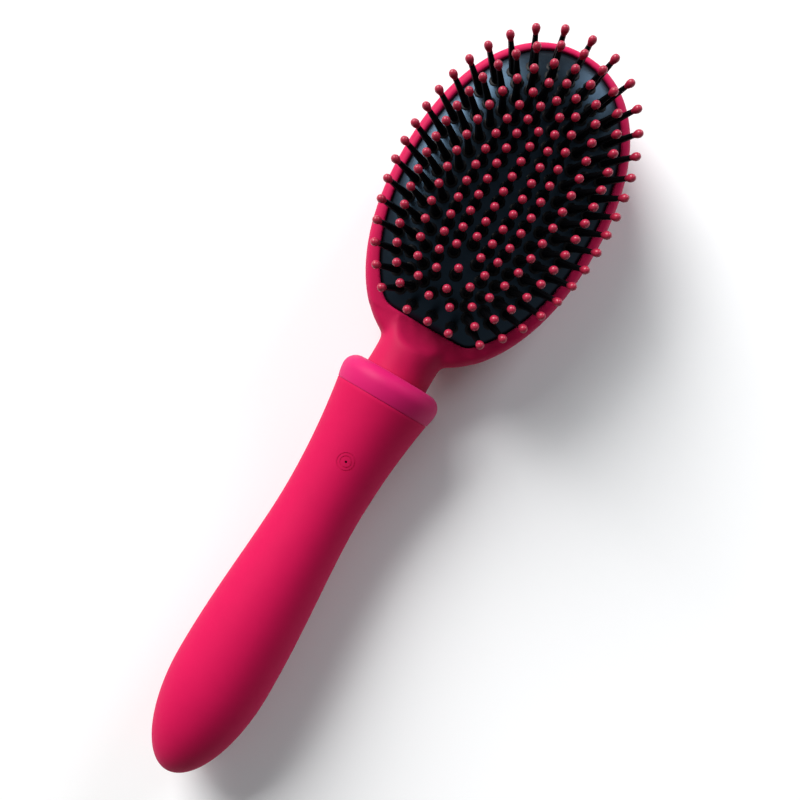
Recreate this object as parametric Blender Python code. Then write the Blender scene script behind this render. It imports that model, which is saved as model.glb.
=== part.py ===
"""Vibrating styling brush: a cushion brush head on a soft-skinned handle with a motor inside.

Units are metres. +Y runs along the brush towards the tip of its head, X is its width, and its pins
stand on the +Z side. The origin is on the flat back of the head, under its widest line. Each piece
is modelled about the handle's axis, and one empty lifts them all to the height of that axis.
"""

import math

import bmesh
import bpy
from mathutils import Matrix, Vector

# Fits
GAP = 0.0003
OVERRUN = 0.002
MERGE_DISTANCE = 0.000001

# Head, seen from the front
HEAD_HALF_WIDTH = 0.0324
HEAD_TIP_REACH = 0.0507
RIM_SIDE_WIDTH = 0.0033
RIM_TIP_WIDTH = 0.0028
RIM_NECK_WIDTH = 0.0048
TIP_POWER = 2.2
NECK_POWER = 2.0

# Head, seen from the side
HEAD_FRONT_HEIGHT = 0.0050
HEAD_BACK_DEPTH = 0.0160
BACK_LAND_SHARE = 0.5
BACK_WALL = 0.0030
BEAD_RISE = 0.0022
BEAD_INSET = 0.0015
LIP_INSET = 0.0005
LIP_DROP = 0.0005

# Cushion
CUSHION_CUT_REACH = 0.0426
CUSHION_CUT_DEPTH = 0.0055
CUSHION_CORNER_POWER = 60.0
CUSHION_EDGE_DROP = 0.0010
CUSHION_SKIRT = 0.0032
CUSHION_WALL = 0.0022
SEAT_WIDTH = 0.0025
SHOULDER_SHARE = 0.6186
SHOULDER_SLOPE = math.radians(32.0)
SHOULDER_SHARES = (0.0, 0.12, 0.35, 0.65, 1.0)

# Pins
PIN_LENGTH = 0.0165
PIN_ROOT_RADIUS = 0.0012
PIN_NECK_RADIUS = 0.0007
PIN_SINK = 0.0008
TIP_RADIUS = 0.00132
TIP_TOP_SHARE = 0.6
FLOOR_PIN_SLOPE = math.radians(12.0)
TIP_LEAN_SHARE = 0.96
NECK_LEAN_SHARE = 0.60
RING_INSET_SHARES = (0.157, 0.323, 0.486, 0.645, 0.808)
RING_SETBACK_SHARES = (0.122, 0.182, 0.243, 0.307, 0.423)
RING_SIDE_PINS = (17, 17, 15, 13, 10)
RING_SIDE_END_SHARES = (0.863, 0.813, 0.748, 0.669, 0.472)
RING_FLOOR_PINS = (3, 2, 1, 0, 1)
RING_FLOOR_SHARES = (0.914, 0.786, 0.725, 0.0, 0.602)
FLOOR_PITCH_SHARE = 0.2285
COLUMN_PINS = 8
COLUMN_SETBACK = 0.0098
COLUMN_BOTTOM_SHARE = 0.366

# Neck and spigot
NECK_RADIUS = 0.00995
NECK_START_WALL = 0.0008
SCOOP_RADIUS = 0.0080
SCOOP_LIFT = 0.00005
NECK_EXPOSED = 0.0066
SPIGOT_STEP = 0.00245
SPIGOT_LENGTH = 0.0150
RING_SECTION_RADIUS = 0.0007
RING_SETBACK = 0.0035
GROOVE_DEPTH = 0.0017

# Handle, along its axis
COLLAR_LENGTH = 0.0086
SEAM_TO_WAIST = 0.0359
MOTOR_PAST_BELLY = 0.0156

# Handle, across its axis
COLLAR_SWELL = 0.00045
COLLAR_STEP = 0.0003
COLLAR_ROUND = 0.0037
COLLAR_CAP_WALL = 0.0018
SHOULDER_STEP = 0.00515
BATTERY_SPACE = 0.0011
MOTOR_SPACE = 0.00145
SLEEVE_WALL = 0.0018
SLEEVE_EDGE_ROUND = 0.0003
CORE_WALL = 0.0016

# Charge port
PORT_REACH = 0.0203
PORT_RING_RADII = (0.00195, 0.00275)
PORT_GROOVE_WIDTH = 0.00035
PORT_GROOVE_DEPTH = 0.00025
PIN_HOLE_RADIUS = 0.00055
JACK_RADIUS = 0.0024
JACK_BORE_RADIUS = 0.00065
JACK_BORE_DEPTH = 0.0040
JACK_WINDOW_RADIUS = 0.0016

# Circuit board, with what it carries
BOARD_SETBACK = 0.0021
BOARD_LENGTH = 0.0238
BOARD_EDGE_SPACE = 0.00087
BOARD_THICKNESS = 0.0012
BOARD_HEIGHT = 0.0010
POST_RADIUS = 0.0017
POST_OFFSET = 0.0046
POST_INSET_TOP = 0.0019
POST_INSET_END = 0.0050
CHIP_SIDE = 0.0050
CHIP_THICKNESS = 0.0010
CHIP_SETBACK = 0.0140
LED_LENGTH = 0.0016
LED_WIDTH = 0.0008
LED_THICKNESS = 0.0006
LED_SETBACK = 0.0170

# Switch and button
BUTTON_REACH = 0.0259
BUTTON_TRAVEL = 0.0004
BUTTON_RADIUS = 0.0040
BUTTON_PROUD = 0.0006
BUTTON_ROUND = 0.0008
FLANGE_RADIUS = 0.0050
FLANGE_THICKNESS = 0.0008
STEM_RADIUS = 0.0016
SWITCH_SIDE = 0.0060
SWITCH_HEIGHT = 0.0033
PLUNGER_RADIUS = 0.0013
PLUNGER_BORE_DEPTH = 0.0022
PLUNGER_PROUD = 0.0010

# Battery
BATTERY_RADIUS = 0.0070
BATTERY_LENGTH = 0.0400
BATTERY_EDGE = 0.0004
BATTERY_NUB_RADIUS = 0.0025
BATTERY_NUB_HEIGHT = 0.0008
BATTERY_RIB_SHARES = (0.12, 0.88)
TAB_THICKNESS = 0.0003
TAB_WIDTH = 0.0080
TAB_HEIGHT = 0.0040
PAD_LENGTH = 0.0110
PAD_WIDTH = 0.0050
PAD_THICKNESS = 0.0016

# Motor, with its weight
MOTOR_SETBACK = 0.0017
MOTOR_CAP_LENGTH = 0.0020
MOTOR_RADIUS = 0.0080
MOTOR_LENGTH = 0.0160
MOTOR_NOSE_RADIUS = 0.0030
MOTOR_NOSE_LENGTH = 0.0010
SHAFT_RADIUS = 0.00075
SHAFT_BURIED = 0.0100
SHAFT_PAST_WEIGHT = 0.0003
WEIGHT_RADIUS = 0.0056
WEIGHT_LENGTH = 0.0040
WEIGHT_HUB_RADIUS = 0.0022
WEIGHT_SETBACK = 0.0012
WEIGHT_CLEARANCE = 0.0018
BOOT_WALL = 0.0012
BOOT_INSET = 0.0008
TERMINAL_WIDTH = 0.0016
TERMINAL_HEIGHT = 0.0020
TERMINAL_THICKNESS = 0.0004
TERMINAL_OFFSET = 0.0050
MOTOR_RIB_SHARES = (0.2, 0.8)

# Core ribs and screws
RIB_THICKNESS = 0.0016
SPIGOT_RIB_LENGTH = 0.0046
BOSS_RADIUS = 0.0022
BOSS_MARGIN = 0.0006
SCREW_HEAD_RADIUS = 0.0014
SCREW_HEAD_HEIGHT = 0.0008
SCREW_SHANK_RADIUS = 0.00075
SCREW_SUNK = 0.00015
NECK_SCREW_BITE = 0.0035
CORE_SCREW_BITE = 0.0040
BOARD_SCREW_HEAD_RADIUS = 0.0014
BOARD_SCREW_HEAD_HEIGHT = 0.0008
BOARD_SCREW_SHANK_RADIUS = 0.0007
BOARD_SCREW_LENGTH = 0.0050
LAST_SCREW_INSET = 0.0040

# Leads
LEAD_RADIUS = 0.0004
LEAD_NOTCH_RADIUS = 0.00075
LEAD_START_INSET = 0.0020
LEAD_SPREAD = 0.0034
LEAD_CHANNEL_SHARES = (0.0, 0.1, 0.5, 0.9, 1.0)

# Facets: sides of round pieces, and steps along curves
HEAD_SIDES = 64
PIN_SIDES = 4
SLEEVE_SIDES = 36
NECK_SIDES = 36
CORE_SIDES = 20
ROUND_SIDES = 20
RING_SIDES = 20
SMALL_SIDES = 10
BOWL_STEPS = 6
BEAD_STEPS = 3
CAVITY_STEPS = 3
COLLAR_STEPS = 5
LEAD_STEPS = 4
ARC_LENGTH_STEPS = 400
HALVINGS = 24

# Facets of the handle's skins: steps down to the waist, down to the belly, and round the end
SLEEVE_OUTER_STEPS = (6, 7, 9)
SLEEVE_INNER_STEPS = (4, 5, 5)
CORE_OUTER_STEPS = (4, 5, 5)
CORE_INNER_STEPS = (3, 5, 6)
SMOOTH_ANGLE = math.radians(35.0)

# Outlines that follow from the sizes above
CUSHION_HALF_WIDTH = HEAD_HALF_WIDTH - RIM_SIDE_WIDTH
CUSHION_TIP_REACH = HEAD_TIP_REACH - RIM_TIP_WIDTH
CUSHION_NECK_REACH = CUSHION_CUT_REACH + CUSHION_CUT_DEPTH
HEAD_NECK_REACH = CUSHION_NECK_REACH + RIM_NECK_WIDTH
SHOULDER_WIDTH = CUSHION_HALF_WIDTH * SHOULDER_SHARE
COLLAR_TOP_REACH = HEAD_NECK_REACH + NECK_EXPOSED
COLUMN_TOP = CUSHION_TIP_REACH * (1.0 - RING_SETBACK_SHARES[-1]) - COLUMN_SETBACK
COLUMN_BOTTOM = -CUSHION_CUT_REACH * COLUMN_BOTTOM_SHARE

# Insets from the sleeve's outer skin, and radii that follow from what the handle holds
CORE_INSET = SLEEVE_WALL + GAP
CAVITY_INSET = CORE_INSET + CORE_WALL
SPIGOT_RADIUS = NECK_RADIUS - SPIGOT_STEP
SHOULDER_RADIUS = NECK_RADIUS + SHOULDER_STEP
COLLAR_SEAM_RADIUS = SHOULDER_RADIUS + COLLAR_STEP
COLLAR_RADIUS = COLLAR_SEAM_RADIUS + COLLAR_SWELL
WAIST_RADIUS = BATTERY_RADIUS + GAP + BATTERY_SPACE + CAVITY_INSET
BELLY_RADIUS = MOTOR_RADIUS + GAP + BOOT_WALL + GAP + MOTOR_SPACE + CAVITY_INSET

# Places that follow, along Y
COLLAR_TOP_Y = -COLLAR_TOP_REACH
SEAM_Y = COLLAR_TOP_Y - COLLAR_LENGTH
WAIST_Y = SEAM_Y - SEAM_TO_WAIST
CORE_TOP_Y = COLLAR_TOP_Y - COLLAR_CAP_WALL - GAP
PORT_Y = SEAM_Y - PORT_REACH
BUTTON_Y = SEAM_Y - BUTTON_REACH
SPIGOT_END_Y = SEAM_Y - SPIGOT_LENGTH
NECK_SCREW_Y = SPIGOT_END_Y + SPIGOT_RIB_LENGTH / 2
BOARD_TOP_Y = SPIGOT_END_Y - BOARD_SETBACK
BOARD_END_Y = BOARD_TOP_Y - BOARD_LENGTH
CORE_SCREW_Y = BOARD_END_Y - BOSS_MARGIN - BOSS_RADIUS
BATTERY_NUB_Y = CORE_SCREW_Y - BOSS_RADIUS - 2 * GAP - TAB_THICKNESS
BATTERY_TOP_Y = BATTERY_NUB_Y - BATTERY_NUB_HEIGHT
BATTERY_END_Y = BATTERY_TOP_Y - BATTERY_LENGTH
MOTOR_CAP_Y = BATTERY_END_Y - TAB_THICKNESS - 2 * GAP - MOTOR_SETBACK
MOTOR_TOP_Y = MOTOR_CAP_Y - MOTOR_CAP_LENGTH - GAP
MOTOR_END_Y = MOTOR_TOP_Y - MOTOR_LENGTH
MOTOR_NOSE_Y = MOTOR_END_Y - MOTOR_NOSE_LENGTH
WEIGHT_TOP_Y = MOTOR_NOSE_Y - WEIGHT_SETBACK
WEIGHT_END_Y = WEIGHT_TOP_Y - WEIGHT_LENGTH
LAST_SCREW_Y = WEIGHT_END_Y - WEIGHT_CLEARANCE - BOSS_RADIUS
BELLY_Y = MOTOR_END_Y + MOTOR_PAST_BELLY
END_Y = LAST_SCREW_Y - LAST_SCREW_INSET - CAVITY_INSET
WAIST_TO_BELLY = WAIST_Y - BELLY_Y
BELLY_TO_END = BELLY_Y - END_Y

# Heights above the axis, and what follows across it
BOARD_FACE = BOARD_HEIGHT + BOARD_THICKNESS
BOARD_CORNER = WAIST_RADIUS - CAVITY_INSET - BOARD_EDGE_SPACE
BOARD_WIDTH = 2 * math.sqrt(BOARD_CORNER**2 - BOARD_FACE**2)
SEAT_HEIGHT = HEAD_FRONT_HEIGHT - CUSHION_EDGE_DROP - CUSHION_SKIRT - GAP
BORE_RADIUS = SCREW_SHANK_RADIUS + GAP
LEAD_CHANNEL = BATTERY_RADIUS + GAP + LEAD_RADIUS
LEAD_SLANT = LEAD_CHANNEL * math.sqrt(2.0) / 2
SWITCH_TOP = BOARD_HEIGHT - GAP
SWITCH_BOTTOM = SWITCH_TOP - SWITCH_HEIGHT
PLUNGER_BOTTOM = SWITCH_BOTTOM - PLUNGER_PROUD
PLUNGER_TOP = SWITCH_BOTTOM + PLUNGER_BORE_DEPTH - BUTTON_TRAVEL - GAP

ORIGIN = Vector((0.0, 0.0, 0.0))
ALONG = Vector((0.0, 1.0, 0.0))
UP = Vector((0.0, 0.0, 1.0))
DOWN = -UP

# Finishes: colour, roughness, metallic
FINISHES = {
    "soft_touch": ((0.55, 0.012, 0.075), 0.50, 0.0),
    "gloss_collar": ((0.58, 0.013, 0.115), 0.38, 0.0),
    "silicone": ((0.60, 0.010, 0.075), 0.55, 0.0),
    "rubber": ((0.010, 0.011, 0.014), 0.42, 0.0),
    "pin_tip": ((0.55, 0.040, 0.090), 0.35, 0.0),
    "core_plastic": ((0.62, 0.62, 0.60), 0.50, 0.0),
    "black_plastic": ((0.02, 0.02, 0.02), 0.45, 0.0),
    "board_green": ((0.01, 0.12, 0.05), 0.45, 0.0),
    "led_lens": ((0.85, 0.85, 0.80), 0.20, 0.0),
    "steel": ((0.60, 0.60, 0.62), 0.32, 1.0),
    "brass": ((0.70, 0.50, 0.20), 0.35, 1.0),
    "tungsten": ((0.40, 0.40, 0.42), 0.40, 1.0),
    "battery_wrap": ((0.05, 0.14, 0.42), 0.35, 0.0),
    "foam": ((0.08, 0.08, 0.08), 0.90, 0.0),
    "lead_red": ((0.50, 0.02, 0.02), 0.45, 0.0),
    "lead_black": ((0.015, 0.015, 0.015), 0.45, 0.0),
}


# Tools for shapes

def clear_scene():
    """Removes every object."""
    for item in list(bpy.data.objects):
        bpy.data.objects.remove(item, do_unlink=True)


def make_material(name, finish):
    """Makes a Principled material with the colour, roughness and metallic value of a finish."""
    colour, roughness, metallic = FINISHES[finish]
    material = bpy.data.materials.new(name)
    material.use_nodes = True
    shader = material.node_tree.nodes["Principled BSDF"]
    shader.inputs["Base Color"].default_value = (*colour, 1.0)
    shader.inputs["Roughness"].default_value = roughness
    shader.inputs["Metallic"].default_value = metallic
    material.diffuse_color = (*colour, 1.0)
    return material


def solid(name, shape):
    """Turns a bmesh into an object with its faces pointing out."""
    bmesh.ops.recalc_face_normals(shape, faces=shape.faces)
    mesh = bpy.data.meshes.new(name)
    shape.to_mesh(mesh)
    shape.free()
    item = bpy.data.objects.new(name, mesh)
    bpy.context.collection.objects.link(item)
    return item


def lofted(name, rings):
    """Joins rings of points into a closed solid with a flat face at each end."""
    shape = bmesh.new()
    loops = [[shape.verts.new(point) for point in ring] for ring in rings]
    for lower, upper in zip(loops, loops[1:]):
        for place in range(len(lower)):
            after = (place + 1) % len(lower)
            shape.faces.new((lower[place], lower[after], upper[after], upper[place]))
    shape.faces.new(loops[0])
    shape.faces.new(loops[-1])
    return solid(name, shape)


def turned(name, profile, sides, place=ORIGIN, direction=ALONG):
    """Turns a profile of (along, radius) points about a line through place in the given direction.

    A profile that starts on the line is closed by the turn, and any other is a closed loop.
    """
    shape = bmesh.new()
    points = [shape.verts.new((radius, along, 0.0)) for along, radius in profile]
    edges = [shape.edges.new(pair) for pair in zip(points, points[1:])]
    if profile[0][1] > 0.0:
        edges.append(shape.edges.new((points[-1], points[0])))
    bmesh.ops.spin(
        shape, geom=points + edges, cent=ORIGIN, axis=ALONG, dvec=ORIGIN, angle=math.tau,
        steps=sides, use_merge=True, use_duplicate=False,
    )
    bmesh.ops.remove_doubles(shape, verts=shape.verts, dist=MERGE_DISTANCE)
    turn = ALONG.rotation_difference(direction).to_matrix().to_4x4()
    bmesh.ops.transform(shape, matrix=Matrix.Translation(place) @ turn, verts=shape.verts)
    return solid(name, shape)


def rod(name, start, end, radius, sides):
    """A plain cylinder between two points."""
    line = end - start
    profile = [(0.0, 0.0), (0.0, radius), (line.length, radius), (line.length, 0.0)]
    return turned(name, profile, sides, start, line.normalized())


def block(name, size, centre):
    """A box of the given size about a centre."""
    shape = bmesh.new()
    bmesh.ops.create_cube(shape, size=1.0)
    bmesh.ops.scale(shape, vec=size, verts=shape.verts)
    bmesh.ops.translate(shape, vec=centre, verts=shape.verts)
    return solid(name, shape)


def combine(target, tool, operation):
    """Cuts, joins or trims a piece with a tool, and removes the tool."""
    modifier = target.modifiers.new("combine", "BOOLEAN")
    modifier.operation = operation
    modifier.solver = "EXACT"
    modifier.object = tool
    bpy.context.view_layer.update()
    graph = bpy.context.evaluated_depsgraph_get()
    made = bpy.data.meshes.new_from_object(target.evaluated_get(graph))
    target.modifiers.remove(modifier)
    shape = bmesh.new()
    shape.from_mesh(made)
    bmesh.ops.remove_doubles(shape, verts=shape.verts, dist=MERGE_DISTANCE)
    bmesh.ops.dissolve_degenerate(shape, edges=shape.edges, dist=MERGE_DISTANCE)
    shape.to_mesh(made)
    shape.free()
    old = target.data
    target.data = made
    bpy.data.meshes.remove(old)
    bpy.data.objects.remove(tool, do_unlink=True)


def cut(target, tool):
    """Takes a tool's volume out of a piece."""
    combine(target, tool, "DIFFERENCE")


def join(target, tool):
    """Fuses a tool's volume with a piece."""
    combine(target, tool, "UNION")


def finished(item, finish, axis, pivot=None):
    """Dresses a piece, shades it smooth, and hangs it on the handle's axis.

    A piece that moves has its origin at pivot.
    """
    if not item.data.materials:
        item.data.materials.append(make_material(item.name, finish))
    if item.type == "MESH":
        item.data.shade_smooth()
        item.data.set_sharp_from_angle(angle=SMOOTH_ANGLE)
    if pivot is not None:
        item.data.transform(Matrix.Translation(-pivot))
        item.location = pivot
    item.parent = axis
    return item


# Outlines

def oval_reach(angle, half_width, tip_reach, neck_reach, cut_reach=None):
    """How far an oval's edge is from its centre in one direction, with a straight cut at its neck."""
    across = abs(math.cos(angle))
    along = abs(math.sin(angle))
    towards_tip = math.sin(angle) >= 0.0
    length = tip_reach if towards_tip else neck_reach
    power = TIP_POWER if towards_tip else NECK_POWER
    reach = ((across / half_width) ** power + (along / length) ** power) ** (-1.0 / power)
    if cut_reach is None or towards_tip:
        return reach
    ratio = reach * along / cut_reach
    return reach * (1.0 + ratio ** CUSHION_CORNER_POWER) ** (-1.0 / CUSHION_CORNER_POWER)


def head_ring(sides, inset, height, share=1.0):
    """A ring along the head's outline, drawn in by inset or shrunk to a share of it."""
    ring = []
    for place in range(sides):
        angle = math.tau * place / sides
        reach = oval_reach(angle, HEAD_HALF_WIDTH, HEAD_TIP_REACH, HEAD_NECK_REACH) * share - inset
        ring.append(Vector((reach * math.cos(angle), reach * math.sin(angle), height)))
    return ring


def cushion_reach(angle, inset):
    """How far the cushion's outline, drawn in by inset, is from its centre in one direction."""
    return oval_reach(
        angle,
        CUSHION_HALF_WIDTH - inset,
        CUSHION_TIP_REACH - inset,
        CUSHION_NECK_REACH - inset,
        CUSHION_CUT_REACH - inset,
    )


def cushion_ring(sides, inset, height, share=1.0):
    """A ring along the cushion's outline, drawn in by inset or shrunk to a share of it."""
    ring = []
    for place in range(sides):
        angle = math.tau * place / sides
        reach = share * cushion_reach(angle, inset)
        ring.append(Vector((reach * math.cos(angle), reach * math.sin(angle), height)))
    return ring


def crown_height(inset):
    """Height of the cushion's top at an inset from its edge: a rolled shoulder, then flat."""
    shoulder_radius = SHOULDER_WIDTH / math.sin(SHOULDER_SLOPE)
    left = max(0.0, SHOULDER_WIDTH - inset)
    drop = shoulder_radius - math.sqrt(shoulder_radius**2 - left**2)
    rise = shoulder_radius * (1.0 - math.cos(SHOULDER_SLOPE))
    return HEAD_FRONT_HEIGHT - CUSHION_EDGE_DROP + rise - drop


def crown_height_at(x, y):
    """Height of the cushion's top at a place, found by halving the range of its inset."""
    angle = math.atan2(y, x)
    near = 0.0
    far = SHOULDER_WIDTH
    for _ in range(HALVINGS):
        middle = (near + far) / 2
        if cushion_reach(angle, middle) > math.hypot(x, y):
            near = middle
        else:
            far = middle
    return crown_height(near)


def skin_radius(y, inset=0.0):
    """Radius of the handle's sleeve at y, or of a skin that lies inset inside it."""
    if y >= WAIST_Y:
        part = min(1.0, (y - WAIST_Y) / SEAM_TO_WAIST)
        return WAIST_RADIUS + (SHOULDER_RADIUS - WAIST_RADIUS) * part**2 - inset
    if y >= BELLY_Y:
        part = (WAIST_Y - y) / WAIST_TO_BELLY
        swell = (1.0 - math.cos(math.pi * part)) / 2
        return WAIST_RADIUS + (BELLY_RADIUS - WAIST_RADIUS) * swell - inset
    part = min(1.0, (BELLY_Y - y) / (BELLY_TO_END - inset))
    return (BELLY_RADIUS - inset) * math.sqrt(1.0 - part**2)


def least_radius(y, reach, inset):
    """Smallest radius of a skin within reach of y, which a round piece across it has to clear."""
    return min(skin_radius(y + reach, inset), skin_radius(y - reach, inset))


def skin_profile(start, inset, steps):
    """Points of a skin from start down to the handle's end, where it closes on the axis."""
    seam_steps, belly_steps, end_steps = steps
    ys = [start + (WAIST_Y - start) * step / seam_steps for step in range(seam_steps)]
    ys += [WAIST_Y - WAIST_TO_BELLY * step / belly_steps for step in range(belly_steps)]
    profile = [(y, skin_radius(y, inset)) for y in ys]
    for step in range(end_steps):
        turn = math.pi / 2 * step / end_steps
        y = BELLY_Y - (BELLY_TO_END - inset) * math.sin(turn)
        profile.append((y, (BELLY_RADIUS - inset) * math.cos(turn)))
    profile.append((END_Y + inset, 0.0))
    return profile


# Head

def make_head_shell():
    """Bowl-backed head with its rim, seat and air chamber, its neck and its spigot, in one moulding."""
    side_height = HEAD_FRONT_HEIGHT - BEAD_RISE
    rings = []
    for step in range(BOWL_STEPS + 1):
        turn = math.pi / 2 * step / BOWL_STEPS
        share = BACK_LAND_SHARE + (1.0 - BACK_LAND_SHARE) * math.sin(turn)
        height = -HEAD_BACK_DEPTH + (side_height + HEAD_BACK_DEPTH) * (1.0 - math.cos(turn))
        rings.append(head_ring(HEAD_SIDES, 0.0, height, share))
    for step in range(1, BEAD_STEPS + 1):
        turn = math.pi / 2 * step / BEAD_STEPS
        inset = BEAD_INSET * (1.0 - math.cos(turn))
        rings.append(head_ring(HEAD_SIDES, inset, side_height + BEAD_RISE * math.sin(turn)))
    rings.append(cushion_ring(HEAD_SIDES, -LIP_INSET, HEAD_FRONT_HEIGHT))
    rings.append(cushion_ring(HEAD_SIDES, 0.0, HEAD_FRONT_HEIGHT - LIP_DROP))
    rings.append(cushion_ring(HEAD_SIDES, 0.0, SEAT_HEIGHT))
    chamber_floor = -HEAD_BACK_DEPTH + BACK_WALL
    for step in range(CAVITY_STEPS + 1):
        turn = math.pi / 2 * (1.0 - step / CAVITY_STEPS)
        share = BACK_LAND_SHARE + (1.0 - BACK_LAND_SHARE) * math.sin(turn)
        height = chamber_floor + (SEAT_HEIGHT - chamber_floor) * (1.0 - math.cos(turn))
        rings.append(cushion_ring(HEAD_SIDES, SEAT_WIDTH, height, share))
    head = lofted("head_shell", rings)

    start = -CUSHION_CUT_REACH - NECK_START_WALL
    ring_y = SEAM_Y - RING_SETBACK
    half_groove = RING_SECTION_RADIUS + GAP
    groove_radius = SPIGOT_RADIUS - GROOVE_DEPTH
    profile = [
        (start, 0.0),
        (start, NECK_RADIUS),
        (SEAM_Y, NECK_RADIUS),
        (SEAM_Y, SPIGOT_RADIUS),
        (ring_y + half_groove, SPIGOT_RADIUS),
        (ring_y + half_groove, groove_radius),
        (ring_y - half_groove, groove_radius),
        (ring_y - half_groove, SPIGOT_RADIUS),
        (SPIGOT_END_Y, SPIGOT_RADIUS),
        (SPIGOT_END_Y, 0.0),
    ]
    join(head, turned("neck", profile, NECK_SIDES))

    scoop_height = HEAD_FRONT_HEIGHT + SCOOP_RADIUS + SCOOP_LIFT
    side = Vector((NECK_RADIUS + OVERRUN, -CUSHION_CUT_REACH, scoop_height))
    other = Vector((-side.x, side.y, side.z))
    cut(head, rod("scoop", other, side, SCOOP_RADIUS, NECK_SIDES))

    bore_end = SPIGOT_RADIUS + OVERRUN
    low = Vector((0.0, NECK_SCREW_Y, -bore_end))
    high = Vector((0.0, NECK_SCREW_Y, bore_end))
    cut(head, rod("pilot", low, high, BORE_RADIUS, SMALL_SIDES))
    return head


def ring_path(inset_share, setback_share, end_reach):
    """Fine points down one side of a pin ring, from its top centre to its lower end."""
    half_width = CUSHION_HALF_WIDTH * (1.0 - inset_share)
    tip_reach = CUSHION_TIP_REACH * (1.0 - setback_share)
    neck_reach = CUSHION_NECK_REACH * (1.0 - setback_share)
    lowest = min(end_reach / neck_reach, 1.0)
    points = []
    for step in range(ARC_LENGTH_STEPS + 1):
        turn = math.pi / 2 * (1.0 - step / ARC_LENGTH_STEPS)
        x = half_width * math.cos(turn) ** (2.0 / TIP_POWER)
        points.append(Vector((x, tip_reach * math.sin(turn) ** (2.0 / TIP_POWER), 0.0)))
    last_turn = math.asin(lowest)
    for step in range(1, ARC_LENGTH_STEPS + 1):
        turn = last_turn * step / ARC_LENGTH_STEPS
        points.append(Vector((half_width * math.cos(turn), -neck_reach * math.sin(turn), 0.0)))
    return points


def evenly_along(points, count):
    """Count places along a path, evenly spaced after its start, each with its outward direction."""
    lengths = [0.0]
    for before, after in zip(points, points[1:]):
        lengths.append(lengths[-1] + (after - before).length)
    places = []
    index = 0
    for step in range(1, count + 1):
        wanted = lengths[-1] * step / count
        while index < len(lengths) - 2 and lengths[index + 1] < wanted:
            index += 1
        run = points[index + 1] - points[index]
        share = (wanted - lengths[index]) / (lengths[index + 1] - lengths[index])
        outward = Vector((-run.y, run.x, 0.0)).normalized()
        places.append((points[index] + run * share, outward))
    return places


def pin_places():
    """The foot, lean direction and lean angle of every pin."""
    places = []

    def add(x, y, towards, lean):
        share = TIP_LEAN_SHARE if towards.y > 0.0 else NECK_LEAN_SHARE
        lean *= math.hypot(towards.x, towards.y * share)
        places.append((Vector((x, y, crown_height_at(x, y))), towards, lean))

    sides = zip(RING_INSET_SHARES, RING_SETBACK_SHARES, RING_SIDE_PINS, RING_SIDE_END_SHARES)
    floors = zip(RING_FLOOR_PINS, RING_FLOOR_SHARES)
    for (inset_share, setback_share, side_pins, end_share), (floor_pins, floor_share) in zip(sides, floors):
        lean = SHOULDER_SLOPE * max(0.0, 1.0 - inset_share / SHOULDER_SHARE)
        add(0.0, CUSHION_TIP_REACH * (1.0 - setback_share), ALONG, lean)
        path = ring_path(inset_share, setback_share, CUSHION_CUT_REACH * end_share)
        for foot, outward in evenly_along(path, side_pins):
            for side in (1.0, -1.0):
                add(foot.x * side, foot.y, Vector((outward.x * side, outward.y, 0.0)), lean)
        for number in range(floor_pins):
            x = CUSHION_HALF_WIDTH * FLOOR_PITCH_SHARE * (number - (floor_pins - 1) / 2)
            floor_lean = min(FLOOR_PIN_SLOPE / NECK_LEAN_SHARE, lean)
            add(x, -CUSHION_CUT_REACH * floor_share, -ALONG, floor_lean)
    for number in range(COLUMN_PINS):
        share = number / (COLUMN_PINS - 1)
        add(0.0, COLUMN_TOP + (COLUMN_BOTTOM - COLUMN_TOP) * share, ALONG, 0.0)
    return places


def make_pin_cushion():
    """Rubber cushion with its pins: each pin is a tapered stem with a ball at its end."""
    skirt_bottom = SEAT_HEIGHT + GAP
    insets = [SHOULDER_WIDTH * share for share in SHOULDER_SHARES]
    rings = []
    for inset in reversed(insets):
        rings.append(cushion_ring(HEAD_SIDES, GAP + inset, crown_height(inset)))
    rings.append(cushion_ring(HEAD_SIDES, GAP, skirt_bottom))
    rings.append(cushion_ring(HEAD_SIDES, SEAT_WIDTH, skirt_bottom))
    for inset in insets[2:]:
        rings.append(cushion_ring(HEAD_SIDES, inset, crown_height(inset) - CUSHION_WALL))
    cushion = lofted("pin_cushion", rings)

    shape = bmesh.new()
    stations = (
        (-PIN_SINK, PIN_ROOT_RADIUS),
        (PIN_LENGTH - TIP_RADIUS, PIN_NECK_RADIUS),
        (PIN_LENGTH, TIP_RADIUS),
        (PIN_LENGTH + TIP_RADIUS * math.sqrt(1.0 - TIP_TOP_SHARE**2), TIP_RADIUS * TIP_TOP_SHARE),
    )
    for foot, towards, lean in pin_places():
        line = UP * math.cos(lean) + towards * math.sin(lean)
        turn = UP.rotation_difference(line).to_matrix()
        loops = []
        for along, radius in stations:
            loop = []
            for corner in range(PIN_SIDES):
                angle = math.tau * (corner + 0.5) / PIN_SIDES
                point = Vector((radius * math.cos(angle), radius * math.sin(angle), along))
                loop.append(shape.verts.new(foot + turn @ point))
            loops.append(loop)
        for level, (lower, upper) in enumerate(zip(loops, loops[1:])):
            for corner in range(PIN_SIDES):
                after = (corner + 1) % PIN_SIDES
                face = shape.faces.new((lower[corner], lower[after], upper[after], upper[corner]))
                face.material_index = min(level, 1)
        shape.faces.new(loops[0][::-1])
        shape.faces.new(loops[-1]).material_index = 1
    pins = solid("pins", shape)
    for material in (make_material("pin_cushion", "rubber"), make_material("pin_tips", "pin_tip")):
        cushion.data.materials.append(material)
        pins.data.materials.append(material)
    join(cushion, pins)
    return cushion


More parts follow.
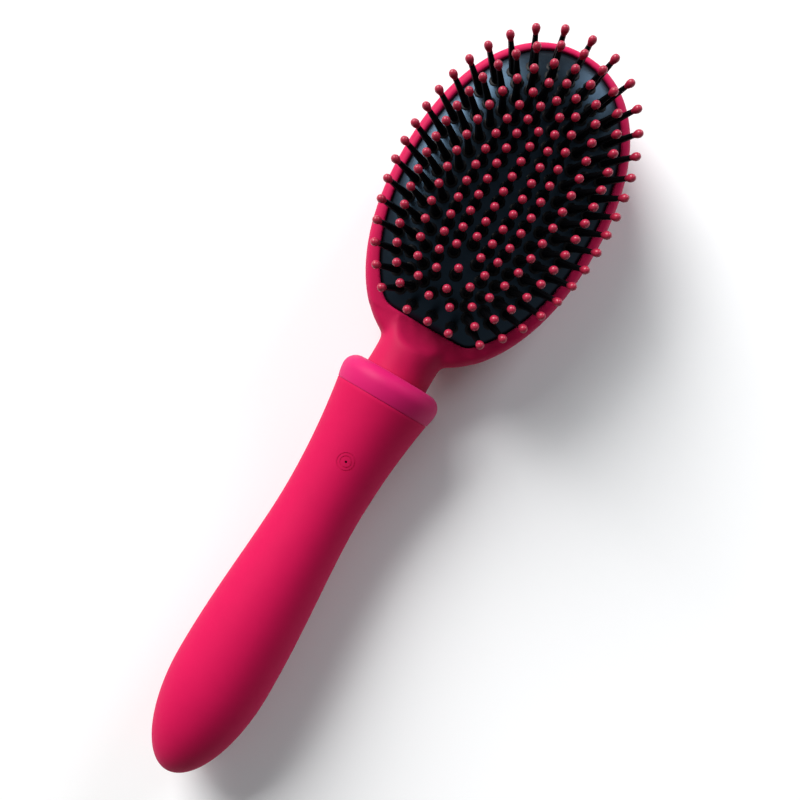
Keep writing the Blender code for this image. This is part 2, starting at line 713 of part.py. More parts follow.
def make_neck_o_ring():
    """Seal in the spigot's groove."""
    middle = SPIGOT_RADIUS - GROOVE_DEPTH + GAP + RING_SECTION_RADIUS
    profile = []
    for corner in range(SMALL_SIDES):
        angle = math.tau * corner / SMALL_SIDES
        along = SEAM_Y - RING_SETBACK + RING_SECTION_RADIUS * math.sin(angle)
        profile.append((along, middle + RING_SECTION_RADIUS * math.cos(angle)))
    return turned("neck_o_ring", profile, ROUND_SIDES)


# Handle

def make_collar():
    """Rounded cap that closes the top of the handle round the neck."""
    bore = NECK_RADIUS + GAP
    recess = skin_radius(SEAM_Y, CORE_INSET) + GAP
    cap_under = COLLAR_TOP_Y - COLLAR_CAP_WALL
    collar_end = SEAM_Y + GAP / 2
    profile = [(COLLAR_TOP_Y, bore)]
    for step in range(COLLAR_STEPS + 1):
        turn = math.pi / 2 * step / COLLAR_STEPS
        along = COLLAR_TOP_Y - COLLAR_ROUND * (1.0 - math.cos(turn))
        profile.append((along, COLLAR_RADIUS - COLLAR_ROUND * (1.0 - math.sin(turn))))
    widest_y = COLLAR_TOP_Y - COLLAR_ROUND
    profile.append(((widest_y * 2 + collar_end) / 3, COLLAR_RADIUS))
    profile += [
        (collar_end, COLLAR_SEAM_RADIUS),
        (collar_end, recess),
        (cap_under, recess),
        (cap_under, bore),
    ]
    return turned("collar", profile, SLEEVE_SIDES)


def port_groove(radius):
    """A ring-shaped cutter that follows the sleeve's skin round the charge port."""
    shape = bmesh.new()
    loops = []
    corners = (
        (-PORT_GROOVE_WIDTH / 2, OVERRUN),
        (PORT_GROOVE_WIDTH / 2, OVERRUN),
        (PORT_GROOVE_WIDTH / 2, -PORT_GROOVE_DEPTH),
        (-PORT_GROOVE_WIDTH / 2, -PORT_GROOVE_DEPTH),
    )
    for step in range(RING_SIDES):
        angle = math.tau * step / RING_SIDES
        loop = []
        for across, rise in corners:
            x = (radius + across) * math.cos(angle)
            y = PORT_Y + (radius + across) * math.sin(angle)
            surface = math.sqrt(skin_radius(y) ** 2 - x**2)
            loop.append(shape.verts.new((x, y, surface + rise)))
        loops.append(loop)
    for step in range(RING_SIDES):
        here = loops[step]
        there = loops[(step + 1) % RING_SIDES]
        for corner in range(len(corners)):
            after = (corner + 1) % len(corners)
            shape.faces.new((here[corner], here[after], there[after], there[corner]))
    return solid("groove", shape)


def make_handle_sleeve():
    """Soft skin over the whole handle, closed at its end, with a pin hole and a button hole."""
    top = SEAM_Y - GAP / 2
    outer = skin_profile(top, 0.0, SLEEVE_OUTER_STEPS)
    outer[0] = (top, outer[0][1] - SLEEVE_EDGE_ROUND)
    outer.insert(1, (top - SLEEVE_EDGE_ROUND, skin_radius(top)))
    inner = skin_profile(top, SLEEVE_WALL, SLEEVE_INNER_STEPS)
    profile = outer[::-1] + inner
    sleeve = turned("handle_sleeve", profile, SLEEVE_SIDES)
    for radius in PORT_RING_RADII:
        cut(sleeve, port_groove(radius))
    axis_point = Vector((0.0, PORT_Y, 0.0))
    top_point = Vector((0.0, PORT_Y, SHOULDER_RADIUS + OVERRUN))
    cut(sleeve, rod("pin_hole", axis_point, top_point, PIN_HOLE_RADIUS, SMALL_SIDES))
    button_axis = Vector((0.0, BUTTON_Y, 0.0))
    button_low = Vector((0.0, BUTTON_Y, -SHOULDER_RADIUS - OVERRUN))
    cut(sleeve, rod("button_hole", button_axis, button_low, BUTTON_RADIUS + GAP, ROUND_SIDES))
    return sleeve


def core_ribs():
    """Top, bottom and bore radius of every rib in the core, from the neck down."""
    spigot_bore = SPIGOT_RADIUS + GAP
    rib_half = RIB_THICKNESS / 2
    ribs = [
        (SEAM_Y - GAP, SEAM_Y - GAP - SPIGOT_RIB_LENGTH, spigot_bore),
        (SPIGOT_END_Y + SPIGOT_RIB_LENGTH, SPIGOT_END_Y - GAP, spigot_bore),
    ]
    for share in BATTERY_RIB_SHARES:
        middle = BATTERY_TOP_Y - BATTERY_LENGTH * share
        ribs.append((middle + rib_half, middle - rib_half, BATTERY_RADIUS + GAP))
    for share in MOTOR_RIB_SHARES:
        middle = MOTOR_TOP_Y - MOTOR_LENGTH * share
        boot_radius = MOTOR_RADIUS + GAP + BOOT_WALL
        ribs.append((middle + rib_half, middle - rib_half, boot_radius + GAP))
    return ribs


def core_profile():
    """Closed profile of the core's wall with its ribs."""
    outer = [(CORE_TOP_Y, skin_radius(SEAM_Y, CORE_INSET))]
    outer += skin_profile(SEAM_Y, CORE_INSET, CORE_OUTER_STEPS)
    mouth = NECK_RADIUS + GAP
    inner = [(CORE_TOP_Y, mouth), (SEAM_Y - GAP, mouth)]
    open_skin = skin_profile(SPIGOT_END_Y, CAVITY_INSET, CORE_INNER_STEPS)
    ribs = core_ribs()
    for number, (top, bottom, bore) in enumerate(ribs):
        if number > 0:
            inner.append((top, skin_radius(top, CAVITY_INSET)))
        inner += [(top, bore), (bottom, bore), (bottom, skin_radius(bottom, CAVITY_INSET))]
        following = ribs[number + 1][0] if number + 1 < len(ribs) else END_Y
        inner += [point for point in open_skin if following < point[0] < bottom]
    return outer[::-1] + inner


def core_half(name, side):
    """One half of the core, above the axis for side 1 and below it for side -1."""
    shell = turned(name, core_profile(), CORE_SIDES)
    shape = bmesh.new()
    shape.from_mesh(shell.data)
    parts = shape.verts[:] + shape.edges[:] + shape.faces[:]
    bmesh.ops.bisect_plane(
        shape, geom=parts, dist=MERGE_DISTANCE, plane_co=UP * (side * GAP / 2),
        plane_no=UP * side, clear_inner=True,
    )
    rims = [edge for edge in shape.edges if edge.is_boundary]
    bmesh.ops.holes_fill(shape, edges=rims, sides=0)
    bmesh.ops.recalc_face_normals(shape, faces=shape.faces)
    shape.to_mesh(shell.data)
    shape.free()
    for y in (CORE_SCREW_Y, LAST_SCREW_Y):
        wall_middle = least_radius(y, BOSS_RADIUS, (CORE_INSET + CAVITY_INSET) / 2)
        foot = Vector((0.0, y, side * GAP / 2))
        join(shell, rod("boss", foot, Vector((0.0, y, side * wall_middle)), BOSS_RADIUS, SMALL_SIDES))
    return shell


def screw_seat(y):
    """Depth below the core's skin at which a screw head's top lies, as a distance from the axis."""
    return least_radius(y, SCREW_HEAD_RADIUS, CORE_INSET) - SCREW_SUNK


def cut_screw_hole(shell, y, side):
    """A counterbore from one side of the core, with its shank hole."""
    head_top = Vector((0.0, y, side * (SHOULDER_RADIUS + OVERRUN)))
    head_under = Vector((0.0, y, side * (screw_seat(y) - SCREW_HEAD_HEIGHT - GAP)))
    cut(shell, rod("counterbore", head_under, head_top, SCREW_HEAD_RADIUS + GAP, SMALL_SIDES))
    cut(shell, rod("shank_hole", Vector((0.0, y, 0.0)), head_top, BORE_RADIUS, SMALL_SIDES))


def make_core_front():
    """Upper half of the core, with the window over the charge jack."""
    shell = core_half("core_front", 1.0)
    for x in (LEAD_SLANT, -LEAD_SLANT, -LEAD_SPREAD):
        height = math.sqrt(LEAD_CHANNEL**2 - x**2)
        start = Vector((x, BATTERY_TOP_Y, height))
        end = Vector((x, BATTERY_END_Y, height))
        cut(shell, rod("lead_notch", start, end, LEAD_NOTCH_RADIUS, SMALL_SIDES))
    axis_point = Vector((0.0, PORT_Y, 0.0))
    outside = Vector((0.0, PORT_Y, SHOULDER_RADIUS + OVERRUN))
    cut(shell, rod("jack_window", axis_point, outside, JACK_WINDOW_RADIUS, SMALL_SIDES))
    cut_screw_hole(shell, NECK_SCREW_Y, 1.0)
    for y in (CORE_SCREW_Y, LAST_SCREW_Y):
        pilot_end = Vector((0.0, y, CORE_SCREW_BITE + GAP))
        cut(shell, rod("pilot", Vector((0.0, y, -OVERRUN)), pilot_end, BORE_RADIUS, SMALL_SIDES))
    return shell


def post_places():
    """Where the two posts under the circuit board stand."""
    return (
        Vector((POST_OFFSET, BOARD_TOP_Y - POST_INSET_TOP, 0.0)),
        Vector((-POST_OFFSET, BOARD_END_Y + POST_INSET_END, 0.0)),
    )


def make_core_rear():
    """Lower half of the core, with the board's posts, the button's hole and the screw seats."""
    shell = core_half("core_rear", -1.0)
    for place in post_places():
        wall_middle = skin_radius(place.y, (CORE_INSET + CAVITY_INSET) / 2)
        depth = math.sqrt(wall_middle**2 - place.x**2)
        top = Vector((place.x, place.y, BOARD_HEIGHT - GAP))
        foot = Vector((place.x, place.y, -depth))
        join(shell, rod("post", foot, top, POST_RADIUS, SMALL_SIDES))
        bore_radius = BOARD_SCREW_SHANK_RADIUS + GAP
        bore_end = top - UP * BOARD_SCREW_LENGTH
        cut(shell, rod("post_bore", bore_end, top + UP * OVERRUN, bore_radius, SMALL_SIDES))
    inside = Vector((0.0, BUTTON_Y, -FLANGE_RADIUS))
    outside = Vector((0.0, BUTTON_Y, -SHOULDER_RADIUS - OVERRUN))
    cut(shell, rod("button_hole", inside, outside, BUTTON_RADIUS + GAP, ROUND_SIDES))
    for y in (NECK_SCREW_Y, CORE_SCREW_Y, LAST_SCREW_Y):
        cut_screw_hole(shell, y, -1.0)
    return shell


# Fasteners

def make_screw(name, seat, direction, length, head_radius, head_height, shank_radius):
    """A pan-head screw: seat is the top of its head, and direction is the way it is driven."""
    profile = [
        (0.0, 0.0),
        (0.0, head_radius - shank_radius / 2),
        (head_height / 2, head_radius),
        (head_height, head_radius),
        (head_height, shank_radius),
        (length - shank_radius, shank_radius),
        (length, 0.0),
    ]
    return turned(name, profile, SMALL_SIDES, seat, direction)


def make_case_screw(name, y, side, bite):
    """A screw from one side of the core that reaches bite beyond or short of the axis."""
    seat = Vector((0.0, y, side * screw_seat(y)))
    length = screw_seat(y) + bite
    return make_screw(
        name, seat, UP * -side, length, SCREW_HEAD_RADIUS, SCREW_HEAD_HEIGHT, SCREW_SHANK_RADIUS
    )


def make_board_screw(name, place):
    """A small screw through the board into its post."""
    seat = Vector((place.x, place.y, BOARD_FACE + GAP + BOARD_SCREW_HEAD_HEIGHT))
    length = BOARD_SCREW_HEAD_HEIGHT + GAP + BOARD_THICKNESS + BOARD_SCREW_LENGTH - GAP
    return make_screw(
        name, seat, DOWN, length, BOARD_SCREW_HEAD_RADIUS, BOARD_SCREW_HEAD_HEIGHT,
        BOARD_SCREW_SHANK_RADIUS,
    )


# Electronics

def make_circuit_board():
    """Board across the core, with a hole for each of its screws."""
    middle = Vector((0.0, (BOARD_TOP_Y + BOARD_END_Y) / 2, BOARD_HEIGHT + BOARD_THICKNESS / 2))
    board = block("circuit_board", (BOARD_WIDTH, BOARD_LENGTH, BOARD_THICKNESS), middle)
    for place in post_places():
        radius = BOARD_SCREW_SHANK_RADIUS + GAP
        low = place + UP * (BOARD_HEIGHT - OVERRUN)
        high = place + UP * (BOARD_FACE + OVERRUN)
        cut(board, rod("board_hole", low, high, radius, SMALL_SIDES))
    return board


def make_charge_jack():
    """Upright round socket under the sleeve's pin hole."""
    foot = BOARD_FACE + GAP
    inner = skin_radius(PORT_Y, CAVITY_INSET)
    top = math.sqrt(inner**2 - JACK_RADIUS**2) - GAP
    profile = [
        (foot, 0.0),
        (foot, JACK_RADIUS),
        (top, JACK_RADIUS),
        (top, JACK_BORE_RADIUS),
        (top - JACK_BORE_DEPTH, JACK_BORE_RADIUS),
        (top - JACK_BORE_DEPTH, 0.0),
    ]
    return turned("charge_jack", profile, ROUND_SIDES, Vector((0.0, PORT_Y, 0.0)), UP)


def make_control_chip():
    """Chip that drives the motor and charges the cell."""
    middle = Vector((0.0, BOARD_TOP_Y - CHIP_SETBACK, BOARD_FACE + GAP + CHIP_THICKNESS / 2))
    return block("control_chip", (CHIP_SIDE, CHIP_SIDE, CHIP_THICKNESS), middle)


def make_charge_led():
    """Small lamp under the board."""
    middle = Vector((0.0, BOARD_TOP_Y - LED_SETBACK, BOARD_HEIGHT - GAP - LED_THICKNESS / 2))
    return block("charge_led", (LED_LENGTH, LED_WIDTH, LED_THICKNESS), middle)


def make_switch_body():
    """Push switch under the board, with a bore for its plunger."""
    middle = Vector((0.0, BUTTON_Y, (SWITCH_TOP + SWITCH_BOTTOM) / 2))
    body = block("switch_body", (SWITCH_SIDE, SWITCH_SIDE, SWITCH_HEIGHT), middle)
    mouth = Vector((0.0, BUTTON_Y, SWITCH_BOTTOM - OVERRUN))
    end = Vector((0.0, BUTTON_Y, SWITCH_BOTTOM + PLUNGER_BORE_DEPTH))
    cut(body, rod("plunger_bore", mouth, end, PLUNGER_RADIUS + GAP, ROUND_SIDES))
    return body


def make_switch_plunger():
    """The switch's own small plunger."""
    low = Vector((0.0, BUTTON_Y, PLUNGER_BOTTOM))
    high = Vector((0.0, BUTTON_Y, PLUNGER_TOP))
    return rod("switch_plunger", low, high, PLUNGER_RADIUS, ROUND_SIDES)


def make_power_button():
    """Round button on the back of the handle, held in by its flange."""
    stem_end = GAP - PLUNGER_BOTTOM
    face = skin_radius(BUTTON_Y) + BUTTON_PROUD
    ledge = math.sqrt(skin_radius(BUTTON_Y, CAVITY_INSET) ** 2 - FLANGE_RADIUS**2) - GAP
    profile = [
        (stem_end, 0.0),
        (stem_end, STEM_RADIUS),
        (ledge - FLANGE_THICKNESS, STEM_RADIUS),
        (ledge - FLANGE_THICKNESS, FLANGE_RADIUS),
        (ledge, FLANGE_RADIUS),
        (ledge, BUTTON_RADIUS),
        (face - BUTTON_ROUND, BUTTON_RADIUS),
        (face - BUTTON_ROUND / 3, BUTTON_RADIUS - BUTTON_ROUND / 3),
        (face, BUTTON_RADIUS - BUTTON_ROUND),
        (face, 0.0),
    ]
    return turned("power_button", profile, ROUND_SIDES, Vector((0.0, BUTTON_Y, 0.0)), DOWN)


# Battery

def make_battery_cell():
    """Wrapped cell with its raised contact towards the neck."""
    profile = [
        (BATTERY_NUB_Y, 0.0),
        (BATTERY_NUB_Y, BATTERY_NUB_RADIUS),
        (BATTERY_TOP_Y, BATTERY_NUB_RADIUS),
        (BATTERY_TOP_Y, BATTERY_RADIUS - BATTERY_EDGE),
        (BATTERY_TOP_Y - BATTERY_EDGE, BATTERY_RADIUS),
        (BATTERY_END_Y + BATTERY_EDGE, BATTERY_RADIUS),
        (BATTERY_END_Y, BATTERY_RADIUS - BATTERY_EDGE),
        (BATTERY_END_Y, 0.0),
    ]
    return turned("battery_cell", profile, CORE_SIDES)


def make_battery_tab(name, face_y):
    """Thin contact plate across one end of the cell."""
    return block(name, (TAB_WIDTH, TAB_THICKNESS, TAB_HEIGHT), Vector((0.0, face_y, 0.0)))


def make_battery_pad():
    """Foam strip between the cell and the core's wall."""
    top = -BATTERY_RADIUS - GAP
    middle = Vector((0.0, BATTERY_TOP_Y - BATTERY_LENGTH / 2, top - PAD_THICKNESS / 2))
    return block("battery_pad", (PAD_WIDTH, PAD_LENGTH, PAD_THICKNESS), middle)


# Motor

def make_motor_can():
    """Steel can with a bearing nose and a bore for the shaft."""
    bore = SHAFT_RADIUS + GAP
    bore_end = MOTOR_NOSE_Y + SHAFT_BURIED + GAP
    profile = [
        (MOTOR_TOP_Y, 0.0),
        (MOTOR_TOP_Y, MOTOR_RADIUS),
        (MOTOR_END_Y, MOTOR_RADIUS),
        (MOTOR_END_Y, MOTOR_NOSE_RADIUS),
        (MOTOR_NOSE_Y, MOTOR_NOSE_RADIUS),
        (MOTOR_NOSE_Y, bore),
        (bore_end, bore),
        (bore_end, 0.0),
    ]
    return turned("motor_can", profile, CORE_SIDES)


def make_motor_end_cap():
    """Plastic cap that carries the motor's terminals."""
    top = Vector((0.0, MOTOR_CAP_Y, 0.0))
    bottom = Vector((0.0, MOTOR_CAP_Y - MOTOR_CAP_LENGTH, 0.0))
    return rod("motor_end_cap", bottom, top, MOTOR_RADIUS, CORE_SIDES)


def make_motor_boot():
    """Rubber sleeve that holds the motor in the core's ribs."""
    inner = MOTOR_RADIUS + GAP
    top = MOTOR_TOP_Y - BOOT_INSET
    end = MOTOR_END_Y + BOOT_INSET
    profile = [(top, inner), (top, inner + BOOT_WALL), (end, inner + BOOT_WALL), (end, inner)]
    return turned("motor_boot", profile, CORE_SIDES)


def make_motor_shaft():
    """Motor's shaft, from inside the can to past its weight."""
    start = Vector((0.0, MOTOR_NOSE_Y + SHAFT_BURIED, 0.0))
    end = Vector((0.0, WEIGHT_END_Y - SHAFT_PAST_WEIGHT, 0.0))
    return rod("motor_shaft", end, start, SHAFT_RADIUS, SMALL_SIDES)


def make_eccentric_weight():
    """Half-round weight on a hub, whose throw makes the brush shake."""
    start = Vector((0.0, WEIGHT_TOP_Y, 0.0))
    finish = Vector((0.0, WEIGHT_END_Y, 0.0))
    weight = rod("eccentric_weight", finish, start, WEIGHT_RADIUS, CORE_SIDES)
    over = WEIGHT_RADIUS + OVERRUN
    middle = Vector((0.0, (WEIGHT_TOP_Y + WEIGHT_END_Y) / 2, over / 2))
    cut(weight, block("upper_half", (2 * over, WEIGHT_LENGTH + OVERRUN, over), middle))
    join(weight, rod("hub", finish, start, WEIGHT_HUB_RADIUS, ROUND_SIDES))
    over_end = ALONG * OVERRUN
    bore = rod("shaft_bore", finish - over_end, start + over_end, SHAFT_RADIUS + GAP, SMALL_SIDES)
    cut(weight, bore)
    return weight


def make_motor_terminal(name, side):
    """Brass terminal on the motor's end cap."""
    middle = Vector((side * TERMINAL_OFFSET, MOTOR_CAP_Y + GAP + TERMINAL_THICKNESS / 2, 0.0))
    return block(name, (TERMINAL_WIDTH, TERMINAL_THICKNESS, TERMINAL_HEIGHT), middle)


# Leads

def smooth_route(points):
    """Points along one smooth curve that passes through the given points."""
    ends = [points[0] * 2 - points[1]] + points + [points[-1] * 2 - points[-2]]
    route = []
    for number in range(1, len(ends) - 2):
        before, here, there, after = ends[number - 1:number + 3]
        for step in range(LEAD_STEPS):
            t = step / LEAD_STEPS
            bend = (before * -1 + here * 3 - there * 3 + after) * t**3
            sway = (before * 2 - here * 5 + there * 4 - after) * t**2
            route.append((here * 2 + (there - before) * t + sway + bend) / 2)
    route.append(points[-1])
    return route


def make_lead(name, points):
    """A short insulated wire along a smooth route."""
    route = smooth_route(points)
    curve = bpy.data.curves.new(name, "CURVE")
    curve.dimensions = "3D"
    curve.bevel_depth = LEAD_RADIUS
    curve.bevel_resolution = 1
    curve.use_fill_caps = True
    spline = curve.splines.new("POLY")
    spline.points.add(len(route) - 1)
    for point, place in zip(spline.points, route):
        point.co = (*place, 1.0)
    item = bpy.data.objects.new(name, curve)
    bpy.context.collection.objects.link(item)
    return item


def channel_run(x):
    """A lead's straight run beside the cell, from its top to its end."""
    height = math.sqrt(LEAD_CHANNEL**2 - x**2)
    points = []
    for share in LEAD_CHANNEL_SHARES:
        points.append(Vector((x, BATTERY_TOP_Y - BATTERY_LENGTH * share, height)))
    return points


def board_run(x, height):
    """A lead's start on the board, and its way past the upper case screw to the given height."""
    lift = BOARD_FACE + GAP + LEAD_RADIUS
    return [
        Vector((x, BOARD_END_Y + LEAD_START_INSET, lift)),
        Vector((x, BOARD_END_Y, lift)),
        Vector((x, CORE_SCREW_Y, (lift + height) / 2)),
    ]


def cell_routes():
    """Where the cell's leads run, from the board to a contact plate at either end of the cell."""
    tab_edge = TAB_HEIGHT / 2 - LEAD_RADIUS
    top_tab_y = BATTERY_NUB_Y + GAP + TAB_THICKNESS + GAP
    end_tab_y = BATTERY_END_Y - 2 * GAP - TAB_THICKNESS - LEAD_RADIUS
    beside = math.sqrt(LEAD_CHANNEL**2 - LEAD_SPREAD**2)
    red = board_run(LEAD_SPREAD, tab_edge)
    red.append(Vector((LEAD_SPREAD, top_tab_y, tab_edge)))
    black = board_run(-LEAD_SPREAD, beside) + channel_run(-LEAD_SPREAD)
    black.append(Vector((-LEAD_SPREAD, end_tab_y, (beside + tab_edge) / 2)))
    black.append(Vector((-LEAD_SPREAD, end_tab_y, tab_edge)))
    return red, black


def motor_route(side):
    """Where a motor lead runs, from the board past the cell to its terminal."""
    x = side * TERMINAL_OFFSET
    y = MOTOR_CAP_Y + GAP + LEAD_RADIUS
    terminal_top = TERMINAL_HEIGHT / 2 + GAP
    route = board_run(side * LEAD_SLANT, LEAD_SLANT) + channel_run(side * LEAD_SLANT)
    route.append(Vector((x, y, (LEAD_SLANT + terminal_top) / 2)))
    route.append(Vector((x, y, terminal_top)))
    return route


# Assembly

def build():
    """Makes every piece and hangs it on the handle's axis."""
    clear_scene()
    axis = bpy.data.objects.new("handle_axis", None)
    bpy.context.collection.objects.link(axis)
    axis.location = UP * HEAD_BACK_DEPTH

    finished(make_head_shell(), "soft_touch", axis)
    finished(make_pin_cushion(), "rubber", axis)
    finished(make_neck_o_ring(), "rubber", axis)
    finished(make_collar(), "gloss_collar", axis)
    finished(make_handle_sleeve(), "silicone", axis)
    finished(make_core_front(), "core_plastic", axis)
    finished(make_core_rear(), "core_plastic", axis)

    finished(make_circuit_board(), "board_green", axis)
    finished(make_charge_jack(), "black_plastic", axis)
    finished(make_control_chip(), "black_plastic", axis)
    finished(make_charge_led(), "led_lens", axis)
    finished(make_switch_body(), "black_plastic", axis)
    button_pivot = Vector((0.0, BUTTON_Y, 0.0))
    finished(make_switch_plunger(), "black_plastic", axis, button_pivot)
    finished(make_power_button(), "soft_touch", axis, button_pivot)

    finished(make_battery_cell(), "battery_wrap", axis)
    finished(make_battery_pad(), "foam", axis)
    positive_y = BATTERY_NUB_Y + GAP + TAB_THICKNESS / 2
    negative_y = BATTERY_END_Y - GAP - TAB_THICKNESS / 2
    finished(make_battery_tab("battery_tab_positive", positive_y), "steel", axis)
    finished(make_battery_tab("battery_tab_negative", negative_y), "steel", axis)

    finished(make_motor_can(), "steel", axis)
    finished(make_motor_end_cap(), "black_plastic", axis)
    finished(make_motor_boot(), "rubber", axis)
    finished(make_motor_terminal("motor_terminal_red", 1.0), "brass", axis)
    finished(make_motor_terminal("motor_terminal_black", -1.0), "brass", axis)
    shaft_pivot = Vector((0.0, MOTOR_NOSE_Y, 0.0))
    finished(make_motor_shaft(), "steel", axis, shaft_pivot)
    finished(make_eccentric_weight(), "tungsten", axis, shaft_pivot)

    cell_red, cell_black = cell_routes()
    finished(make_lead("battery_lead_red", cell_red), "lead_red", axis)
    finished(make_lead("battery_lead_black", cell_black), "lead_black", axis)
    finished(make_lead("motor_lead_red", motor_route(1.0)), "lead_red", axis)
    finished(make_lead("motor_lead_black", motor_route(-1.0)), "lead_black", axis)

    finished(make_case_screw("neck_screw_front", NECK_SCREW_Y, 1.0, -NECK_SCREW_BITE), "steel", axis)
    finished(make_case_screw("neck_screw_rear", NECK_SCREW_Y, -1.0, -NECK_SCREW_BITE), "steel", axis)
    finished(make_case_screw("core_screw_upper", CORE_SCREW_Y, -1.0, CORE_SCREW_BITE), "steel", axis)
    finished(make_case_screw("core_screw_lower", LAST_SCREW_Y, -1.0, CORE_SCREW_BITE), "steel", axis)
    for name, place in zip(("board_screw_upper", "board_screw_lower"), post_places()):
        finished(make_board_screw(name, place), "steel", axis)


build()
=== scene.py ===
"""Looks of a vibrating styling brush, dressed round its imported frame.

The brush lies on its back with its pins up. +Y runs along it to the tip of its head, and the handle's
axis lies AXIS_HEIGHT above the floor. Every shape is modelled about that axis and lifted to it.
"""

import logging
import math
from collections.abc import Iterable, Sequence
from dataclasses import dataclass
from enum import Enum

import bmesh
import bpy
from mathutils import Matrix, Vector


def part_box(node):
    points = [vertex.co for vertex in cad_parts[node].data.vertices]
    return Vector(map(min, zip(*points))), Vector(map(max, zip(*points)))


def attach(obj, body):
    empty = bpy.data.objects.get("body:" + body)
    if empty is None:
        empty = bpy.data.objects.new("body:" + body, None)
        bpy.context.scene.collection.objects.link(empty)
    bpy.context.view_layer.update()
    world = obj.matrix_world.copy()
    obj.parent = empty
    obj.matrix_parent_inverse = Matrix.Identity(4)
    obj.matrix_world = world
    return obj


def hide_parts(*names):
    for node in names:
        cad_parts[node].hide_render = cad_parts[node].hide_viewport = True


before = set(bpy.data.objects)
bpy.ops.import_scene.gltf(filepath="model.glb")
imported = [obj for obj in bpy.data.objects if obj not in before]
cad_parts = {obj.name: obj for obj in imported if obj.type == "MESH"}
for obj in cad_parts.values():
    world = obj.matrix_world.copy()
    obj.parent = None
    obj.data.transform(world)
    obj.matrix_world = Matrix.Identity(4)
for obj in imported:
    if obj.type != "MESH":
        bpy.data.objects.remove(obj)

AXIS_HEIGHT = 0.0160
GAP = 0.0003
MERGE = 0.000001
QUARTER = math.pi / 2
LOG = logging.getLogger("styling_brush")

ACROSS = Vector((1.0, 0.0, 0.0))
ALONG = Vector((0.0, 1.0, 0.0))
UP = Vector((0.0, 0.0, 1.0))
ORIGIN = Vector((0.0, 0.0, 0.0))

Shape = bmesh.types.BMesh
Item = bpy.types.Object
Socket = bpy.types.NodeSocket
Pair = tuple[float, float]
Points = list[Pair]
Profile = Sequence[Pair]
Triple = tuple[float, float, float]
Colour = Triple
Paint = Colour | Socket

EVEN = (1.0, 1.0, 1.0)
WHITE = (1.0, 1.0, 1.0)
SHEEN_TINT = (1.0, 0.25, 0.70)
SHEEN_ROUGHNESS = 0.45
COAT_ROUGHNESS_SHARE = 0.6
SPECK_SIZE_SHARE = 3.0
SPECK_ROUGHNESS = 0.12
BRUSHED_STRETCH = (1.0, 0.06, 1.0)
TRACK_SCALE = 0.05
TRACK_LIMIT = 0.62
BAND_START_SHARE = 0.9


class Fuse(Enum):
    """What a second solid does to a first one."""

    JOIN = "UNION"
    CUT = "DIFFERENCE"


class Pattern(Enum):
    """The fine relief of a finish."""

    GRAIN = "grain"
    BRUSHED = "brushed"
    PORES = "pores"
    TRACKS = "tracks"
    BANDED = "banded"


class Wire:
    """A number that flows between nodes, so that sums on it add Math nodes."""

    def __init__(self, net: "NodeNet", socket: Socket) -> None:
        """Wraps a socket of a net."""
        self.net = net
        self.socket = socket

    def _maths(self, operation: str, first: "Wire | float", second: "Wire | float") -> "Wire":
        """Adds one Math node with its two values, and hands on its result."""
        node = self.net.node("ShaderNodeMath", {"operation": operation}, {0: first, 1: second})
        return Wire(self.net, node.outputs[0])

    def __add__(self, other: "Wire | float") -> "Wire":
        """Sum."""
        return self._maths("ADD", self, other)

    __radd__ = __add__

    def __sub__(self, other: "Wire | float") -> "Wire":
        """Difference."""
        return self._maths("SUBTRACT", self, other)

    def __rsub__(self, other: "Wire | float") -> "Wire":
        """Difference from a plain number."""
        return self._maths("SUBTRACT", other, self)

    def __mul__(self, other: "Wire | float") -> "Wire":
        """Product."""
        return self._maths("MULTIPLY", self, other)

    __rmul__ = __mul__

    def __truediv__(self, other: "Wire | float") -> "Wire":
        """Quotient."""
        return self._maths("DIVIDE", self, other)

    def __rtruediv__(self, other: "Wire | float") -> "Wire":
        """Quotient of a plain number."""
        return self._maths("DIVIDE", other, self)

    def above(self, limit: float) -> "Wire":
        """One where the value passes a limit, and zero elsewhere."""
        return self._maths("GREATER_THAN", self, limit)

    def size(self) -> "Wire":
        """The value without its sign."""
        return self._maths("ABSOLUTE", self, 0.0)


